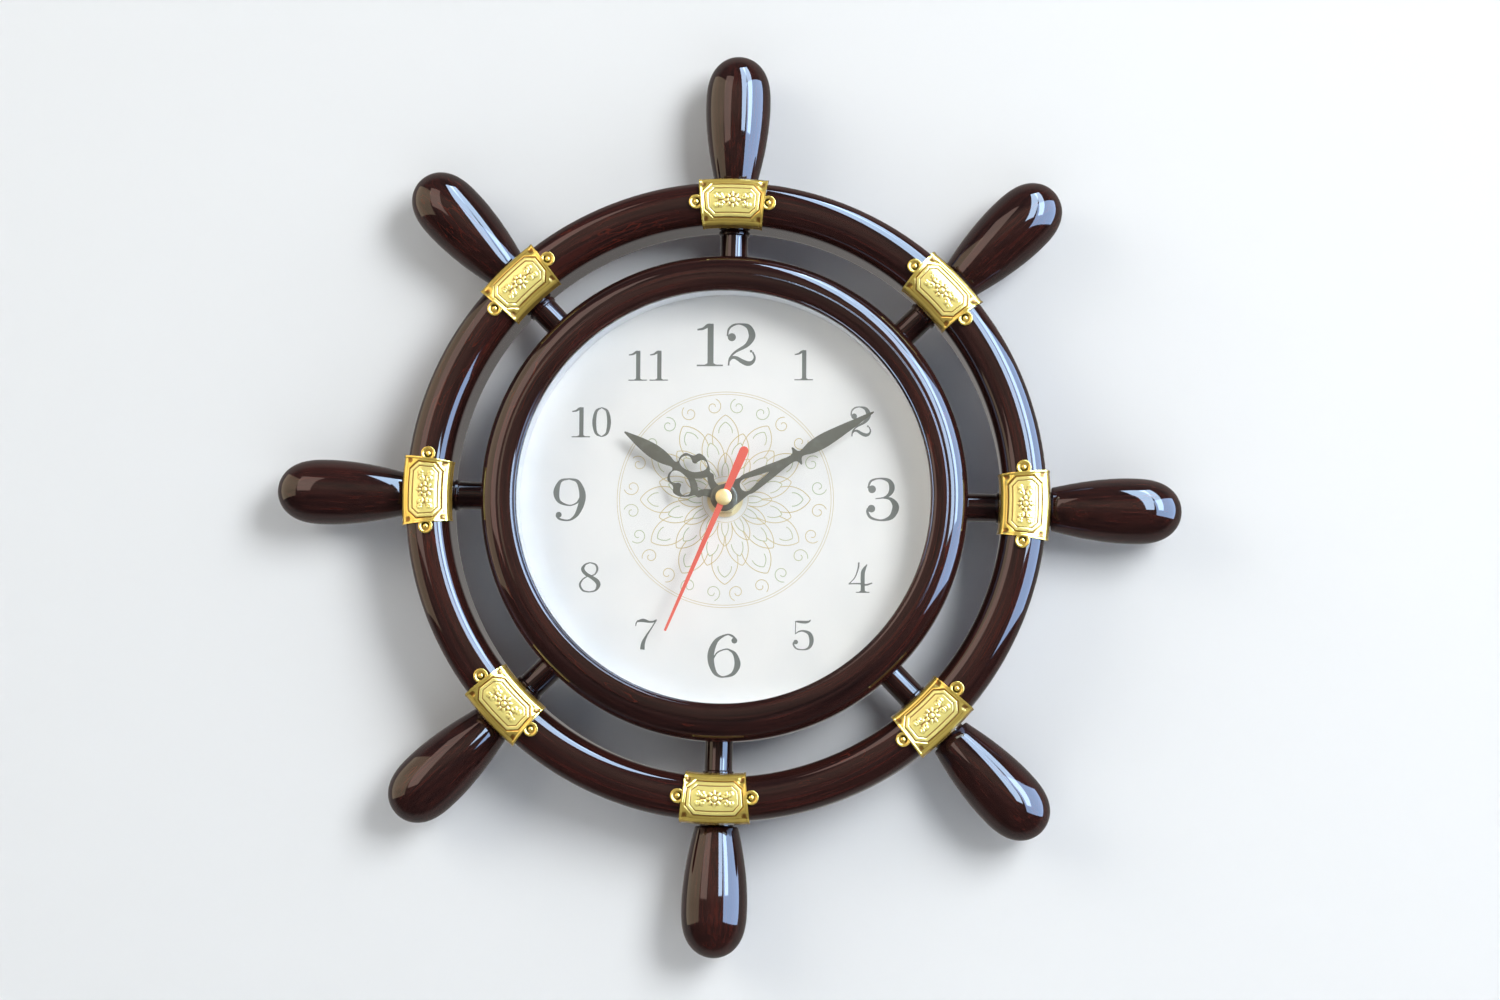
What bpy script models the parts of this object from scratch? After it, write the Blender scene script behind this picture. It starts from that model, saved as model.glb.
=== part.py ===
"""Ship wheel wall clock with a quartz movement, as separate named pieces.

Every length is in metres. The pieces are laid out in the clock's own frame, which hangs under the
empty clock_frame: x to the right, y up and z from the wall towards the viewer, with the clock's
centre at x = y = 0 and the wall at z = 0. The empty turns that frame so that the finished part has
+Z up, its front towards -Y and its origin at the nail that it hangs on.
"""

import math

import bmesh
import bpy
from mathutils import Vector
from mathutils.geometry import tessellate_polygon

# Clearances and facets shared by all pieces
GAP = 0.0003
OVERRUN = 0.002
WELD = 0.000002
CASE_FACETS = 40
HANDLE_FACETS = 12
SPOKE_FACETS = 12
SMALL_FACETS = 12
TINY_FACETS = 8
CROWN_STEPS = 6
SMOOTH_ANGLE = math.radians(35)
SPOKES = 8

# Wheel ring, a turned hoop with a crowned front and a flat back
RING_WINDOW = 0.0142
RING_WIDTH = 0.0184
RING_BACK = 0.0060
RING_FRONT = 0.0345
RING_CROWN = 0.0085
RING_STEP_DEPTH = 0.0162
CROWN_POWER = 2.4

# Spokes: round rods with a head inside the case and a tenon inside the handle
SPOKE_HEIGHT = 0.0150
SPOKE_RADIUS = 0.0058
SPOKE_HEAD_LIP = 0.0008
SPOKE_HEAD_THICKNESS = 0.0012
SPOKE_SHOULDER = 0.0018
TENON_LENGTH = 0.0220
HOLE_CLEARANCE = 0.0002

# Turned handles
HANDLE_LENGTH = 0.0538
HANDLE_RADIUS = 0.0137
HANDLE_COLLAR_LIP = 0.0014
HANDLE_COLLAR_LENGTH = 0.0022
HANDLE_END_SHARE = 0.66
HANDLE_BELLY_SHARE = 0.60
HANDLE_TAPER_POWER = 1.8
HANDLE_NOSE_POWER = 2.8
HANDLE_BORE_SPARE = 0.0010

# Gilt plaques, one over each spoke
PLAQUE_LENGTH = 0.0262
PLAQUE_THICKNESS = 0.0010
PLAQUE_STEPS = 2
PLAQUE_LIP_SHARE = 0.40
PLAQUE_PANEL_EDGE_SHARE = 0.80
PLAQUE_EAR_RADIUS = 0.0034
PLAQUE_EAR_THICKNESS = 0.0008
PLAQUE_EAR_INSET = 0.0012
PLAQUE_PANEL_MARGIN = 0.0036
PLAQUE_PANEL_RISE = 0.0008

# Case: a drum open at the back, with a flange at the front for the dial and the bezel
CASE_RADIUS = 0.0974
CASE_WALL = 0.0034
FLANGE_WIDTH = 0.0060
FLANGE_THICKNESS = 0.0044

# Bezel, a crowned ring that is hollow behind, with a lip in front of the lens
BEZEL_SKIRT_WALL = 0.0034
BEZEL_SKIRT_LENGTH = 0.0036
BEZEL_SEAT_WALL = 0.0024
BEZEL_LIP_WIDTH = 0.0043
BEZEL_LIP_THICKNESS = 0.0018
BEZEL_CREST_SHARE = 0.41
BEZEL_INNER_RISE = 0.0022
BEZEL_OUTER_RISE = 0.0088

# Lens and the white spacer that stands on the dial behind it
LENS_LAP = 0.0019
LENS_THICKNESS = 0.0020
LENS_CLEARANCE = 0.0010
SPACER_THICKNESS = 0.0017

# Dial plate and its four screws
DIAL_THICKNESS = 0.0020
DIAL_SCREWS = 4
DIAL_SCREW_TURN = math.radians(22.5)
SCREW_HEAD_RADIUS = 0.0024
SCREW_HEAD_THICKNESS = 0.0014
SCREW_RADIUS = 0.0012
SCREW_LENGTH = 0.0048
SCREW_CLEARANCE = 0.0003

# Hanger: a steel keyhole plate on a web across the top of the case
HANGER_INSET = 0.0070
HANGER_WIDTH = 0.0400
HANGER_MARGIN = 0.0015
HANGER_THICKNESS = 0.0012
HANGER_SLOT_RADIUS = 0.0020
HANGER_ENTRY_RADIUS = 0.0040
HANGER_SLOT_LENGTH = 0.0060
HANGER_SCREW_MARGIN = 0.0040
WEB_REACH = 0.0210
WEB_THICKNESS = 0.0026
WEB_SETBACK = 0.0036
WEB_WINDOW_SHARE = 0.50

# Hands, pointing where they stand in the photograph, clockwise from the top of the wheel
HAND_THICKNESS = 0.0005
HAND_SPACING = 0.0011
HOUR_REST = math.radians(302.2)
MINUTE_REST = math.radians(58.7)
SECOND_REST = math.radians(202.0)
HOUR_TIP_CLEARANCE = 0.0370
HOUR_HUB_RADIUS = 0.0052
MINUTE_TIP_CLEARANCE = 0.0158
MINUTE_HUB_RADIUS = 0.0056
SECOND_LENGTH = 0.0605
SECOND_TAIL = 0.0228
SECOND_TIP_WIDTH = 0.0010
SECOND_HUB_WIDTH = 0.0026
SECOND_TAIL_WIDTH = 0.0038
CAP_RADIUS = 0.0034
CAP_THICKNESS = 0.0012

# Movement case
MOVEMENT_FLOOR = 0.0015
MOVEMENT_WALL = 0.0014
COVER_THICKNESS = 0.0012
BUSH_RADIUS = 0.0040
BUSH_BORE_RADIUS = 0.0030
BUSH_PROUD = 0.0008
NUT_ACROSS_FLATS = 0.0110
NUT_THICKNESS = 0.0022
WASHER_RADIUS = 0.0075
WASHER_THICKNESS = 0.0005

# Arbors, pipes and gear levels
ARBOR_RADIUS = 0.0004
PIVOT_DEPTH = 0.0007
SECOND_ARBOR_RADIUS = 0.00055
MINUTE_BORE_RADIUS = 0.00085
MINUTE_PIPE_RADIUS = 0.00165
HOUR_BORE_RADIUS = 0.00195
HOUR_PIPE_RADIUS = 0.0027
PIPE_PROUD = 0.0007
GEAR_THICKNESS = 0.0008
LEVEL_GAP = 0.0006
FIRST_LEVEL = 0.0015
PINION_PROUD = 0.0005

# Tooth counts and modules, in the order in which the gears mesh
SECOND_WHEEL_TEETH = 36
STEP_PINION_TEETH = 6
STEP_WHEEL_TEETH = 30
ROTOR_PINION_TEETH = 6
SECOND_PINION_TEETH = 6
THIRD_WHEEL_TEETH = 45
THIRD_PINION_TEETH = 6
CENTER_WHEEL_TEETH = 48
CANNON_PINION_TEETH = 8
MINUTE_WHEEL_TEETH = 24
MINUTE_PINION_TEETH = 6
HOUR_WHEEL_TEETH = 24
KNOB_PINION_TEETH = 10
SECOND_MODULE = 0.00048
STEP_MODULE = 0.00040
CENTER_MODULE = 0.00036
CANNON_MODULE = 0.00055
TOOTH_TIP_SHARE = 0.65
TOOTH_ROOT_SHARE = 0.95
WHEEL_ROOT_WIDTH_SHARE = 0.24
PINION_TIP_WIDTH_SHARE = 0.11
PINION_ROOT_WIDTH_SHARE = 0.20

# Directions from one arbor to the next
THIRD_DIRECTION = math.radians(170)
STEP_DIRECTION = math.radians(105)
ROTOR_DIRECTION = math.radians(150)
MINUTE_WHEEL_DIRECTION = math.radians(30)
KNOB_DIRECTION = math.radians(30)

# Motor: rotor magnet, stator plate and coil
MAGNET_RADIUS = 0.0026
MAGNET_THICKNESS = 0.0020
STATOR_THICKNESS = 0.0008
STATOR_AIR_GAP = 0.0004
STATOR_RIM = 0.0012
STATOR_BAR = 0.0050
STATOR_ARM = 0.0036
STATOR_POST_RADIUS = 0.0012
COIL_RADIUS = 0.0028
COIL_FLANGE_RADIUS = 0.0032
COIL_LENGTH = 0.0220
COIL_FLANGE_THICKNESS = 0.0010
COIL_RISE = 0.0096
CORE_WIDTH = 0.0024

# Setting knob on the back
KNOB_RADIUS = 0.0048
KNOB_THICKNESS = 0.0032
KNOB_SHAFT_RADIUS = 0.0012
KNOB_RIBS = 18
KNOB_RIB_SHARE = 0.92

# Battery, its bay and its contacts
BATTERY_RADIUS = 0.0071
BATTERY_LENGTH = 0.0490
BATTERY_NUB_RADIUS = 0.0027
BATTERY_NUB_LENGTH = 0.0012
BATTERY_SPARE = 0.0003
CONTACT_THICKNESS = 0.0004
CONTACT_WIDTH = 0.0090
CONTACT_BUTTON_RADIUS = 0.0024
CONTACT_BUTTON_LENGTH = 0.0012
CONTACT_LUG = 0.0030
CONTACT_LUG_REACH = 0.0045
PARTITION = 0.0012

# Circuit board and its crystal
BOARD_WIDTH = 0.0150
BOARD_HEIGHT = 0.0110
BOARD_THICKNESS = 0.0010
CRYSTAL_RADIUS = 0.0010
CRYSTAL_LENGTH = 0.0060

# Outlines of the hands as shares of each hand's length: along it, then to one side
HOUR_EDGE_SHARES = (
    (0.075, 0.062), (0.145, 0.074), (0.180, 0.112), (0.216, 0.115), (0.247, 0.148), (0.313, 0.190),
    (0.373, 0.192), (0.405, 0.151), (0.469, 0.134), (0.491, 0.085), (0.484, 0.044), (0.505, 0.027),
    (0.560, 0.042), (0.620, 0.054), (0.690, 0.058), (0.760, 0.053), (0.840, 0.040), (0.920, 0.022),
)
HOUR_LOBE_SHARES = (
    (0.470, 0.042), (0.478, 0.078), (0.463, 0.108), (0.436, 0.126), (0.403, 0.118), (0.380, 0.101),
    (0.356, 0.104), (0.346, 0.129), (0.330, 0.155), (0.305, 0.166), (0.275, 0.156), (0.257, 0.130),
    (0.266, 0.096), (0.298, 0.060), (0.333, 0.036), (0.380, 0.024), (0.430, 0.022),
)
HOUR_DIAMOND_SHARES = (
    (0.290, 0.0), (0.246, 0.028), (0.212, 0.066), (0.176, 0.026), (0.132, 0.0),
)
MINUTE_EDGE_SHARES = (
    (0.128, 0.056), (0.170, 0.060), (0.300, 0.042), (0.452, 0.021), (0.482, 0.058), (0.509, 0.018),
    (0.580, 0.035), (0.660, 0.041), (0.760, 0.033), (0.870, 0.020), (0.960, 0.009),
)
MINUTE_DROP_SHARES = (
    (0.296, 0.0), (0.240, 0.013), (0.185, 0.027), (0.150, 0.036), (0.125, 0.030), (0.113, 0.012),
)

# Values that follow from the driving dimensions
CASE_INNER_RADIUS = CASE_RADIUS - CASE_WALL
FLANGE_INNER_RADIUS = CASE_INNER_RADIUS - FLANGE_WIDTH
DIAL_RADIUS = CASE_INNER_RADIUS - 2 * GAP
DIAL_SCREW_PITCH_RADIUS = (FLANGE_INNER_RADIUS + CASE_INNER_RADIUS) / 2
SPACER_OUTER_RADIUS = FLANGE_INNER_RADIUS - GAP
SPACER_INNER_RADIUS = SPACER_OUTER_RADIUS - SPACER_THICKNESS
LENS_RADIUS = FLANGE_INNER_RADIUS + LENS_LAP
BEZEL_SEAT_RADIUS = LENS_RADIUS + GAP
BEZEL_LIP_RADIUS = LENS_RADIUS - BEZEL_LIP_WIDTH
BEZEL_RADIUS = CASE_RADIUS + GAP + BEZEL_SKIRT_WALL
BEZEL_CREST_RADIUS = BEZEL_LIP_RADIUS + (BEZEL_RADIUS - BEZEL_LIP_RADIUS) * BEZEL_CREST_SHARE
HANGER_RISE = CASE_INNER_RADIUS - HANGER_INSET
HANGER_SCREW_SPACING = HANGER_WIDTH - 2 * HANGER_SCREW_MARGIN
HOUR_LENGTH = FLANGE_INNER_RADIUS - HOUR_TIP_CLEARANCE
MINUTE_LENGTH = FLANGE_INNER_RADIUS - MINUTE_TIP_CLEARANCE

RING_INNER_RADIUS = BEZEL_RADIUS + RING_WINDOW
RING_OUTER_RADIUS = RING_INNER_RADIUS + RING_WIDTH
RING_MIDDLE_RADIUS = RING_INNER_RADIUS + RING_WIDTH / 2
RING_STEP_RADIUS = RING_INNER_RADIUS + RING_STEP_DEPTH
RING_BASE = RING_FRONT - RING_CROWN
SPOKE_HEAD_RADIUS = SPOKE_RADIUS + SPOKE_HEAD_LIP
TENON_RADIUS = SPOKE_RADIUS - SPOKE_SHOULDER
HANDLE_COLLAR_RADIUS = SPOKE_RADIUS + HANDLE_COLLAR_LIP
HANDLE_START = RING_OUTER_RADIUS + GAP
HANDLE_SHOULDER = HANDLE_START + HANDLE_COLLAR_LENGTH
HANDLE_TIP = HANDLE_SHOULDER + HANDLE_LENGTH

# The dial lies just in front of the spokes' heads, and the movement hangs behind it
LEVEL_STEP = GEAR_THICKNESS + LEVEL_GAP
BAY_DEPTH = 2 * BATTERY_RADIUS + 2 * BATTERY_SPARE
TRAIN_HEIGHT = 3 * LEVEL_STEP + 4 * GEAR_THICKNESS + 3 * PINION_PROUD + 2 * LEVEL_GAP + 2 * GAP
TRAIN_DEPTH = MOVEMENT_FLOOR + FIRST_LEVEL + TRAIN_HEIGHT
DIAL_REAR = SPOKE_HEIGHT + SPOKE_HEAD_RADIUS + GAP
MOVEMENT_FRONT = DIAL_REAR - GAP
COVER_REAR = MOVEMENT_FRONT - COVER_THICKNESS
MOVEMENT_REAR = COVER_REAR - max(TRAIN_DEPTH, BAY_DEPTH)
FLOOR = MOVEMENT_REAR + MOVEMENT_FLOOR

# Gear centres in the clock frame
STEP_DISTANCE = SECOND_MODULE * (SECOND_WHEEL_TEETH + STEP_PINION_TEETH) / 2
ROTOR_DISTANCE = STEP_MODULE * (STEP_WHEEL_TEETH + ROTOR_PINION_TEETH) / 2
THIRD_DISTANCE = CENTER_MODULE * (CENTER_WHEEL_TEETH + THIRD_PINION_TEETH) / 2
THIRD_MODULE = 2 * THIRD_DISTANCE / (THIRD_WHEEL_TEETH + SECOND_PINION_TEETH)
MOTION_DISTANCE = CANNON_MODULE * (MINUTE_WHEEL_TEETH + CANNON_PINION_TEETH) / 2
HOUR_MODULE = 2 * MOTION_DISTANCE / (HOUR_WHEEL_TEETH + MINUTE_PINION_TEETH)
KNOB_DISTANCE = CANNON_MODULE * (MINUTE_WHEEL_TEETH + KNOB_PINION_TEETH) / 2


def step_from(start, distance, direction):
    """The point that lies at a distance and a direction from another."""
    return (start[0] + distance * math.cos(direction), start[1] + distance * math.sin(direction))


CENTRE = (0.0, 0.0)
STEP_AXIS = step_from(CENTRE, STEP_DISTANCE, STEP_DIRECTION)
ROTOR_AXIS = step_from(STEP_AXIS, ROTOR_DISTANCE, ROTOR_DIRECTION)
THIRD_AXIS = step_from(CENTRE, THIRD_DISTANCE, THIRD_DIRECTION)
MINUTE_WHEEL_AXIS = step_from(CENTRE, MOTION_DISTANCE, MINUTE_WHEEL_DIRECTION)
KNOB_AXIS = step_from(MINUTE_WHEEL_AXIS, KNOB_DISTANCE, KNOB_DIRECTION)

# Gear levels, each the rear face of a wheel, stacked from the movement's floor towards the dial
SECOND_LEVEL = FLOOR + FIRST_LEVEL
STEP_LEVEL = SECOND_LEVEL + LEVEL_STEP
THIRD_LEVEL = STEP_LEVEL + LEVEL_STEP
SECOND_PINION_FRONT = THIRD_LEVEL + GEAR_THICKNESS + PINION_PROUD
PIPE_REAR = SECOND_PINION_FRONT + GAP
CENTER_LEVEL = PIPE_REAR + GEAR_THICKNESS + GAP
MOTION_LEVEL = CENTER_LEVEL + LEVEL_STEP
CANNON_FRONT = MOTION_LEVEL + GEAR_THICKNESS + PINION_PROUD
HOUR_LEVEL = CANNON_FRONT + LEVEL_GAP
HOUR_PINION_FRONT = HOUR_LEVEL + GEAR_THICKNESS + PINION_PROUD

# The stack from the movement to the bezel
DIAL_FRONT = DIAL_REAR + DIAL_THICKNESS
FLANGE_REAR = DIAL_FRONT + GAP
FLANGE_FRONT = FLANGE_REAR + FLANGE_THICKNESS
WASHER_REAR = DIAL_FRONT + GAP
NUT_REAR = WASHER_REAR + WASHER_THICKNESS + GAP
BUSH_FRONT = NUT_REAR + NUT_THICKNESS + BUSH_PROUD
HOUR_HAND_REAR = BUSH_FRONT + HAND_SPACING
HOUR_PIPE_FRONT = HOUR_HAND_REAR + HAND_THICKNESS + PIPE_PROUD
MINUTE_HAND_REAR = HOUR_PIPE_FRONT + HAND_SPACING
MINUTE_PIPE_FRONT = MINUTE_HAND_REAR + HAND_THICKNESS + PIPE_PROUD
SECOND_HAND_REAR = MINUTE_PIPE_FRONT + HAND_SPACING
CAP_FRONT = SECOND_HAND_REAR + HAND_THICKNESS + CAP_THICKNESS
LENS_REAR = CAP_FRONT + LENS_CLEARANCE
LENS_FRONT = LENS_REAR + LENS_THICKNESS
LIP_REAR = LENS_FRONT + GAP
LIP_FRONT = LIP_REAR + BEZEL_LIP_THICKNESS
BEZEL_CREST = LIP_FRONT + BEZEL_INNER_RISE

# The movement's outline: the gears above the partition and the battery bay below it
BAY_HALF_LENGTH = BATTERY_LENGTH / 2 + CONTACT_BUTTON_LENGTH + CONTACT_THICKNESS + 2 * GAP
MOTOR_HALF_LENGTH = abs(ROTOR_AXIS[0]) + COIL_LENGTH / 2 + STATOR_ARM + 2 * GAP
POCKET_HALF_LENGTH = max(BAY_HALF_LENGTH, MOTOR_HALF_LENGTH)
PARTITION_TOP = -(SECOND_MODULE * SECOND_WHEEL_TEETH / 2 + OVERRUN)
BAY_TOP = PARTITION_TOP - PARTITION
BAY_BOTTOM = BAY_TOP - BAY_DEPTH
BATTERY_RISE = (BAY_TOP + BAY_BOTTOM) / 2
BATTERY_HEIGHT = MOVEMENT_REAR + BATTERY_RADIUS + BATTERY_SPARE
COIL_AXIS_RISE = ROTOR_AXIS[1] + COIL_RISE
POCKET_TOP = COIL_AXIS_RISE + COIL_FLANGE_RADIUS + GAP
STATOR_REAR = THIRD_LEVEL + LEVEL_STEP + LEVEL_GAP


def new_material(name, colour, roughness, metallic=0.0, alpha=1.0):
    """A Principled material of one colour."""
    material = bpy.data.materials.new(name)
    material.use_nodes = True
    shader = material.node_tree.nodes["Principled BSDF"]
    shader.inputs["Base Color"].default_value = (*colour, 1.0)
    shader.inputs["Roughness"].default_value = roughness
    shader.inputs["Metallic"].default_value = metallic
    shader.inputs["Alpha"].default_value = alpha
    material.diffuse_color = (*colour, alpha)
    return material


def circle(radius, facets, centre=CENTRE, start=0.0, end=2 * math.pi):
    """Points of a circle, or of an arc from start up to end, counted anticlockwise."""
    whole = end - start >= 2 * math.pi
    last = facets if whole else facets - 1
    angles = [start + (end - start) * i / last for i in range(facets)]
    return [(centre[0] + radius * math.cos(a), centre[1] + radius * math.sin(a)) for a in angles]


def rectangle(x_low, x_high, y_low, y_high):
    """Corners of a rectangle."""
    return [(x_low, y_low), (x_high, y_low), (x_high, y_high), (x_low, y_high)]


def prism(outlines, rear, front):
    """A plate between two levels. The first outline is its edge and the others are its holes."""
    body = bmesh.new()
    flat = [[Vector((x, y, 0)) for x, y in outline] for outline in outlines]
    corners = [corner for outline in flat for corner in outline]
    layers = [[body.verts.new((c.x, c.y, z)) for c in corners] for z in (rear, front)]
    for triangle in tessellate_polygon(flat):
        for layer in layers:
            body.faces.new([layer[i] for i in triangle])
    first = 0
    for outline in flat:
        count = len(outline)
        for i in range(count):
            here = first + i
            after = first + (i + 1) % count
            side = (layers[0][here], layers[0][after], layers[1][after], layers[1][here])
            body.faces.new(side)
        first += count
    bmesh.ops.recalc_face_normals(body, faces=body.faces)
    return body


def turned(profile, facets):
    """A body turned about z from (radius, z) points: a loop, or a run from the axis to the axis."""
    body = bmesh.new()
    turns = [2 * math.pi * i / facets for i in range(facets)]
    rings = []
    for radius, z in profile:
        around = turns if radius > 0 else turns[:1]
        rings.append([body.verts.new((radius * math.cos(a), radius * math.sin(a), z)) for a in around])
    pairs = list(zip(rings, rings[1:]))
    if profile[0][0] > 0 and profile[-1][0] > 0:
        pairs.append((rings[-1], rings[0]))
    for one, other in pairs:
        for i in range(facets):
            after = (i + 1) % facets
            corners = [one[i % len(one)], one[after % len(one)]]
            corners += [other[after % len(other)], other[i % len(other)]]
            body.faces.new(list(dict.fromkeys(corners)))
    bmesh.ops.recalc_face_normals(body, faces=body.faces)
    return body


def swept(profile, half_angle, steps):
    """A (radius, z) outline carried round the clock's axis, as far each way as half_angle."""
    body = bmesh.new()
    angles = [math.pi / 2 - half_angle + 2 * half_angle * i / steps for i in range(steps + 1)]
    rings = [[body.verts.new((r * math.cos(a), r * math.sin(a), z)) for r, z in profile] for a in angles]
    count = len(profile)
    for one, other in zip(rings, rings[1:]):
        for i in range(count):
            after = (i + 1) % count
            body.faces.new((one[i], one[after], other[after], other[i]))
    for end in (rings[0], rings[-1]):
        body.faces.new(end)
    bmesh.ops.recalc_face_normals(body, faces=body.faces)
    return body


def helper_object(body):
    """A hidden object for one step of a Boolean."""
    mesh = bpy.data.meshes.new("helper")
    body.to_mesh(mesh)
    body.free()
    helper = bpy.data.objects.new("helper", mesh)
    helper.hide_render = True
    helper.display_type = "WIRE"
    bpy.context.scene.collection.objects.link(helper)
    return helper


def combined(body, tools, operation):
    """The body with every tool joined to it or cut from it in turn, welded after each step."""
    for tool in tools:
        base = helper_object(body)
        helper = helper_object(tool)
        modifier = base.modifiers.new("step", "BOOLEAN")
        modifier.operation = operation
        modifier.solver = "EXACT"
        modifier.object = helper
        graph = bpy.context.evaluated_depsgraph_get()
        body = bmesh.new()
        body.from_mesh(base.evaluated_get(graph).to_mesh())
        bmesh.ops.remove_doubles(body, verts=body.verts, dist=WELD)
        bmesh.ops.dissolve_degenerate(body, dist=WELD, edges=body.edges)
        for used in (base, helper):
            mesh = used.data
            bpy.data.objects.remove(used)
            bpy.data.meshes.remove(mesh)
    return body


def joined(body, *tools):
    """The union of several bodies."""
    return combined(body, tools, "UNION")


def cut(body, *tools):
    """The first body without the others."""
    return combined(body, tools, "DIFFERENCE")


def flat_reach(drum_radius, face_radius):
    """How far out a flat round face can go inside a faceted drum before its rim meets the wall."""
    apothem = drum_radius * math.cos(math.pi / CASE_FACETS)
    return math.sqrt(apothem**2 - face_radius**2)


def along_x(body, start, turn=0.0, height=0.0):
    """Lays a body that was turned about z along the direction turn, starting at a radius."""
    for vertex in body.verts:
        x, y, z = vertex.co
        vertex.co = (start + z, y, height - x)
    for vertex in body.verts:
        x, y, z = vertex.co
        vertex.co = (x * math.cos(turn) - y * math.sin(turn), x * math.sin(turn) + y * math.cos(turn), z)
    bmesh.ops.recalc_face_normals(body, faces=body.faces)
    return body


def mesh_of(name, body, material):
    """The finished mesh of a piece, with its round faces shaded smooth."""
    mesh = bpy.data.meshes.new(name)
    body.to_mesh(mesh)
    body.free()
    mesh.materials.append(material)
    mesh.shade_smooth()
    mesh.set_sharp_from_angle(angle=SMOOTH_ANGLE)
    return mesh


def place(name, mesh, frame, axis=CENTRE, turn=0.0):
    """An object in the clock frame, with its origin on the axis that it turns about."""
    piece = bpy.data.objects.new(name, mesh)
    piece.parent = frame
    piece.location = (axis[0], axis[1], 0)
    piece.rotation_euler = (0, 0, turn)
    bpy.context.scene.collection.objects.link(piece)
    return piece


def crown(outer, inner, base, rise, steps, start=0.0, end=math.pi):
    """A rounded section over a hoop, from its outer side to its inner, as (radius, z) points."""
    middle = (outer + inner) / 2
    half = (outer - inner) / 2
    points = []
    for i in range(steps + 1):
        angle = start + (end - start) * i / steps
        across = math.copysign(abs(math.cos(angle)) ** (2 / CROWN_POWER), math.cos(angle))
        up = abs(math.sin(angle)) ** (2 / CROWN_POWER)
        points.append((middle + half * across, base + rise * up))
    return points


def gear_outline(teeth, module, phase, is_pinion):
    """The edge of a gear with one tooth centred on the angle phase: a wheel's teeth are pointed."""
    root_share = PINION_ROOT_WIDTH_SHARE if is_pinion else WHEEL_ROOT_WIDTH_SHARE
    pitch_radius = module * teeth / 2
    tip = pitch_radius + TOOTH_TIP_SHARE * module
    root = pitch_radius - TOOTH_ROOT_SHARE * module
    pitch = 2 * math.pi / teeth
    flat_tip = ((tip, -PINION_TIP_WIDTH_SHARE), (tip, PINION_TIP_WIDTH_SHARE))
    corners = ((root, -root_share), *(flat_tip if is_pinion else ((tip, 0),)), (root, root_share))
    points = []
    for tooth in range(teeth):
        for radius, share in corners:
            angle = phase + (tooth + share) * pitch
            points.append((radius * math.cos(angle), radius * math.sin(angle)))
    return points


def mating_phase(phase, teeth, other_teeth, direction):
    """The phase that puts a gear in mesh with another that lies in the opposite direction."""
    return direction + math.pi - math.pi / other_teeth - (phase - direction) * teeth / other_teeth


def hand_outline(edge_shares, length, hub_radius):
    """The edge of a hand that points up: a round hub, then both sides out to the tip."""
    side = [(share[1] * length, share[0] * length) for share in edge_shares]
    opening = math.atan2(side[0][1], side[0][0])
    hub = circle(hub_radius, SMALL_FACETS, CENTRE, math.pi - opening, 2 * math.pi + opening)
    left = [(-x, y) for x, y in reversed(side)]
    return hub + side[1:] + [(0, length)] + left[:-1]


def ring_piece():
    """The hoop: crowned in front and flat behind, with a stepped hole for each spoke."""
    front = crown(RING_OUTER_RADIUS, RING_INNER_RADIUS, RING_BASE, RING_CROWN, CROWN_STEPS)
    profile = [(RING_OUTER_RADIUS, RING_BACK), *front, (RING_INNER_RADIUS, RING_BACK)]
    wide = SPOKE_RADIUS + HOLE_CLEARANCE
    narrow = TENON_RADIUS + HOLE_CLEARANCE
    inside = RING_INNER_RADIUS - OVERRUN
    outside = RING_OUTER_RADIUS + OVERRUN
    hole = [(0, inside), (wide, inside), (wide, RING_STEP_RADIUS), (narrow, RING_STEP_RADIUS)]
    hole += [(narrow, outside), (0, outside)]
    turns = [2 * math.pi * i / SPOKES for i in range(SPOKES)]
    holes = [along_x(turned(hole, SPOKE_FACETS), 0.0, turn, SPOKE_HEIGHT) for turn in turns]
    return cut(turned(profile, CASE_FACETS), *holes)


def spoke_piece():
    """One rod from its head inside the case to its tenon inside the handle, lying along x."""
    head = flat_reach(CASE_INNER_RADIUS, SPOKE_HEAD_RADIUS) - GAP - SPOKE_HEAD_THICKNESS
    shoulder = RING_STEP_RADIUS - GAP
    end = RING_OUTER_RADIUS + TENON_LENGTH
    profile = [
        (0, head), (SPOKE_HEAD_RADIUS, head), (SPOKE_HEAD_RADIUS, head + SPOKE_HEAD_THICKNESS),
        (SPOKE_RADIUS, head + SPOKE_HEAD_THICKNESS), (SPOKE_RADIUS, shoulder),
        (TENON_RADIUS, shoulder), (TENON_RADIUS, end), (0, end),
    ]
    return along_x(turned(profile, SPOKE_FACETS), 0.0, 0.0, SPOKE_HEIGHT)


def handle_profile(steps):
    """Half the outline of a handle as (radius, distance from the clock's centre) points."""
    points = []
    for i in range(steps + 1):
        share = math.sin(math.pi / 2 * i / steps)
        if share < HANDLE_BELLY_SHARE:
            away = (HANDLE_BELLY_SHARE - share) / HANDLE_BELLY_SHARE
            size = 1 - (1 - HANDLE_END_SHARE) * away**HANDLE_TAPER_POWER
        else:
            away = (share - HANDLE_BELLY_SHARE) / (1 - HANDLE_BELLY_SHARE)
            size = math.sqrt(max(0.0, 1 - away**HANDLE_NOSE_POWER))
        points.append((HANDLE_RADIUS * size, HANDLE_SHOULDER + share * HANDLE_LENGTH))
    points[-1] = (0, HANDLE_TIP)
    return points


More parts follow.
